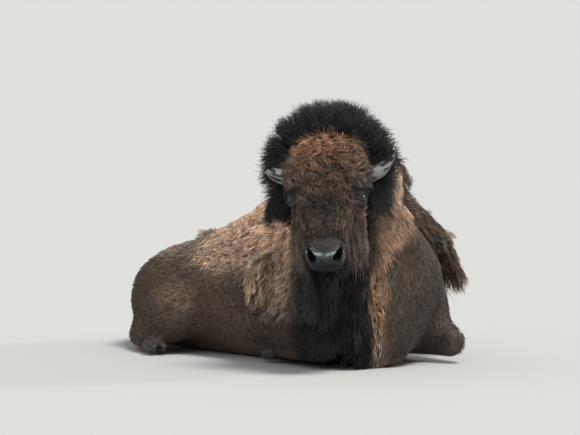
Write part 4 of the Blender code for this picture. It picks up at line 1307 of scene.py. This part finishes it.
def eyeball(side, centre, node):
    """A dark wet eye with a long level pupil."""
    work = bmesh.new()
    bmesh.ops.create_uvsphere(work, u_segments=48, v_segments=32, radius=EYE_RADIUS)
    out, along, up = gaze(side)
    turn = Matrix((along, up, out)).transposed()
    bmesh.ops.transform(work, matrix=Matrix.Translation(centre) @ turn.to_4x4(), verts=work.verts)
    mesh = finished(work, node + "_look")
    away = (places(mesh) - centre) / EYE_RADIUS
    flat = np.stack([dot(away, along), dot(away, up)], axis=1)
    facing = dot(away, out)
    iris = fall(np.hypot(flat[:, 0], flat[:, 1]), 0.52, 0.6) * (facing > 0)
    pupil = fall(np.hypot(flat[:, 0] / 0.36, flat[:, 1] / 0.17), 0.85, 1.05) * (facing > 0)
    tones = mixed(tone((10, 8, 8)), tone((10, 6, 4)), iris[:, None])
    tones = mixed(tones, tone((3, 3, 4)), pupil[:, None])
    paint(mesh, "Coat", tones)
    return new_object(mesh.name, mesh)


def claw(node):
    """The solid's hoof, rounded and ringed."""
    mesh = remeshed(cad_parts[node].data.copy(), CLAW_VOXEL)
    co, pairs = places(mesh), edges(mesh)
    co = smoothed(co, pairs, 4)
    co[:, 2] = np.maximum(co[:, 2], 0.0)
    place(mesh, co)
    mesh.shade_smooth()
    rings = 0.5 + 0.5 * np.sin(co[:, 1] * 900)
    paint(mesh, "Coat", mixed(tone((12, 10, 9)), tone((28, 23, 20)), rings[:, None]))
    return new_object(node + "_look", mesh)


horn_look = horn_material("horn", 0.6, 0.12)
hoof_look = horn_material("hoof", 0.55)
eye_look = eye_material()
for side, centre in EYES:
    label = "left" if side > 0 else "right"
    dress(horn(side, "horn_" + label), horn_look, "horn", ["horn_" + label])
    dress(eyeball(side, centre, "eye_" + label), eye_look, "eye", ["eye_" + label])
for node in NODES:
    if node.startswith("claw"):
        dress(claw(node), hoof_look, "hoof", [node])

# ---- floor, light and camera
floor_mesh = bpy.data.meshes.new("floor")
disc = bmesh.new()
bmesh.ops.create_circle(disc, cap_ends=True, segments=96, radius=FLOOR_RADIUS)
disc.to_mesh(floor_mesh)
disc.free()
floor = new_object("floor", floor_mesh)
paint_plain, _, floor_shader = shader_material("floor", 0.9, 0.2)
floor_shader.inputs["Base Color"].default_value = (0.47, 0.47, 0.455, 1.0)
floor_mesh.materials.append(paint_plain)

world = bpy.data.worlds.new("studio")
bpy.context.scene.world = world
world.use_nodes = True
world.node_tree.nodes["Background"].inputs["Color"].default_value = (0.93, 0.97, 1.0, 1.0)
world.node_tree.nodes["Background"].inputs["Strength"].default_value = 0.62


SUNS = (  # name, strength, softness in degrees, where it stands, colour
    ("key", 2.9, 20, (0.1, -0.45, 1.0), (1.0, 0.97, 0.93)),
    ("fill", 0.5, 40, (-0.9, -0.9, 0.6), (0.95, 0.97, 1.0)),
    ("side", 0.8, 10, (0.92, -0.17, 0.4), (1.0, 0.98, 0.95)),
)
for name, energy, softness, way, colour in SUNS:
    light = bpy.data.lights.new(name, "SUN")
    light.energy = energy
    light.angle = math.radians(softness)
    light.color = colour
    lamp = new_object(name, light)
    lamp.rotation_mode = "QUATERNION"
    lamp.rotation_quaternion = Vector(way).to_track_quat("Z", "Y")

camera_data = bpy.data.cameras.new("camera")
camera = new_object("camera", camera_data)
camera_data.sensor_width = 36.0
camera_data.lens = camera_data.sensor_width * CAMERA_DISTANCE / VIEW_WIDTH
camera_data.clip_end = 500.0
level = math.cos(CAMERA_RISE)
back = Vector((-math.sin(CAMERA_YAW) * level, -math.cos(CAMERA_YAW) * level, math.sin(CAMERA_RISE)))
turn = back.to_track_quat("Z", "Y")
AIM = (0.0491, 0.5189)  # how far the view's middle lies left of and above the animal's place on the floor
ANIMAL_PLACE = Vector((0.0199, -0.0052, 0.0))
target = ANIMAL_PLACE - turn @ Vector((AIM[0], 0, 0)) + turn @ Vector((0, AIM[1], 0))
camera.rotation_mode = "QUATERNION"
camera.rotation_quaternion = turn
camera.location = target + back * CAMERA_DISTANCE
bpy.context.scene.camera = camera
bpy.context.scene.view_settings.view_transform = "Standard"
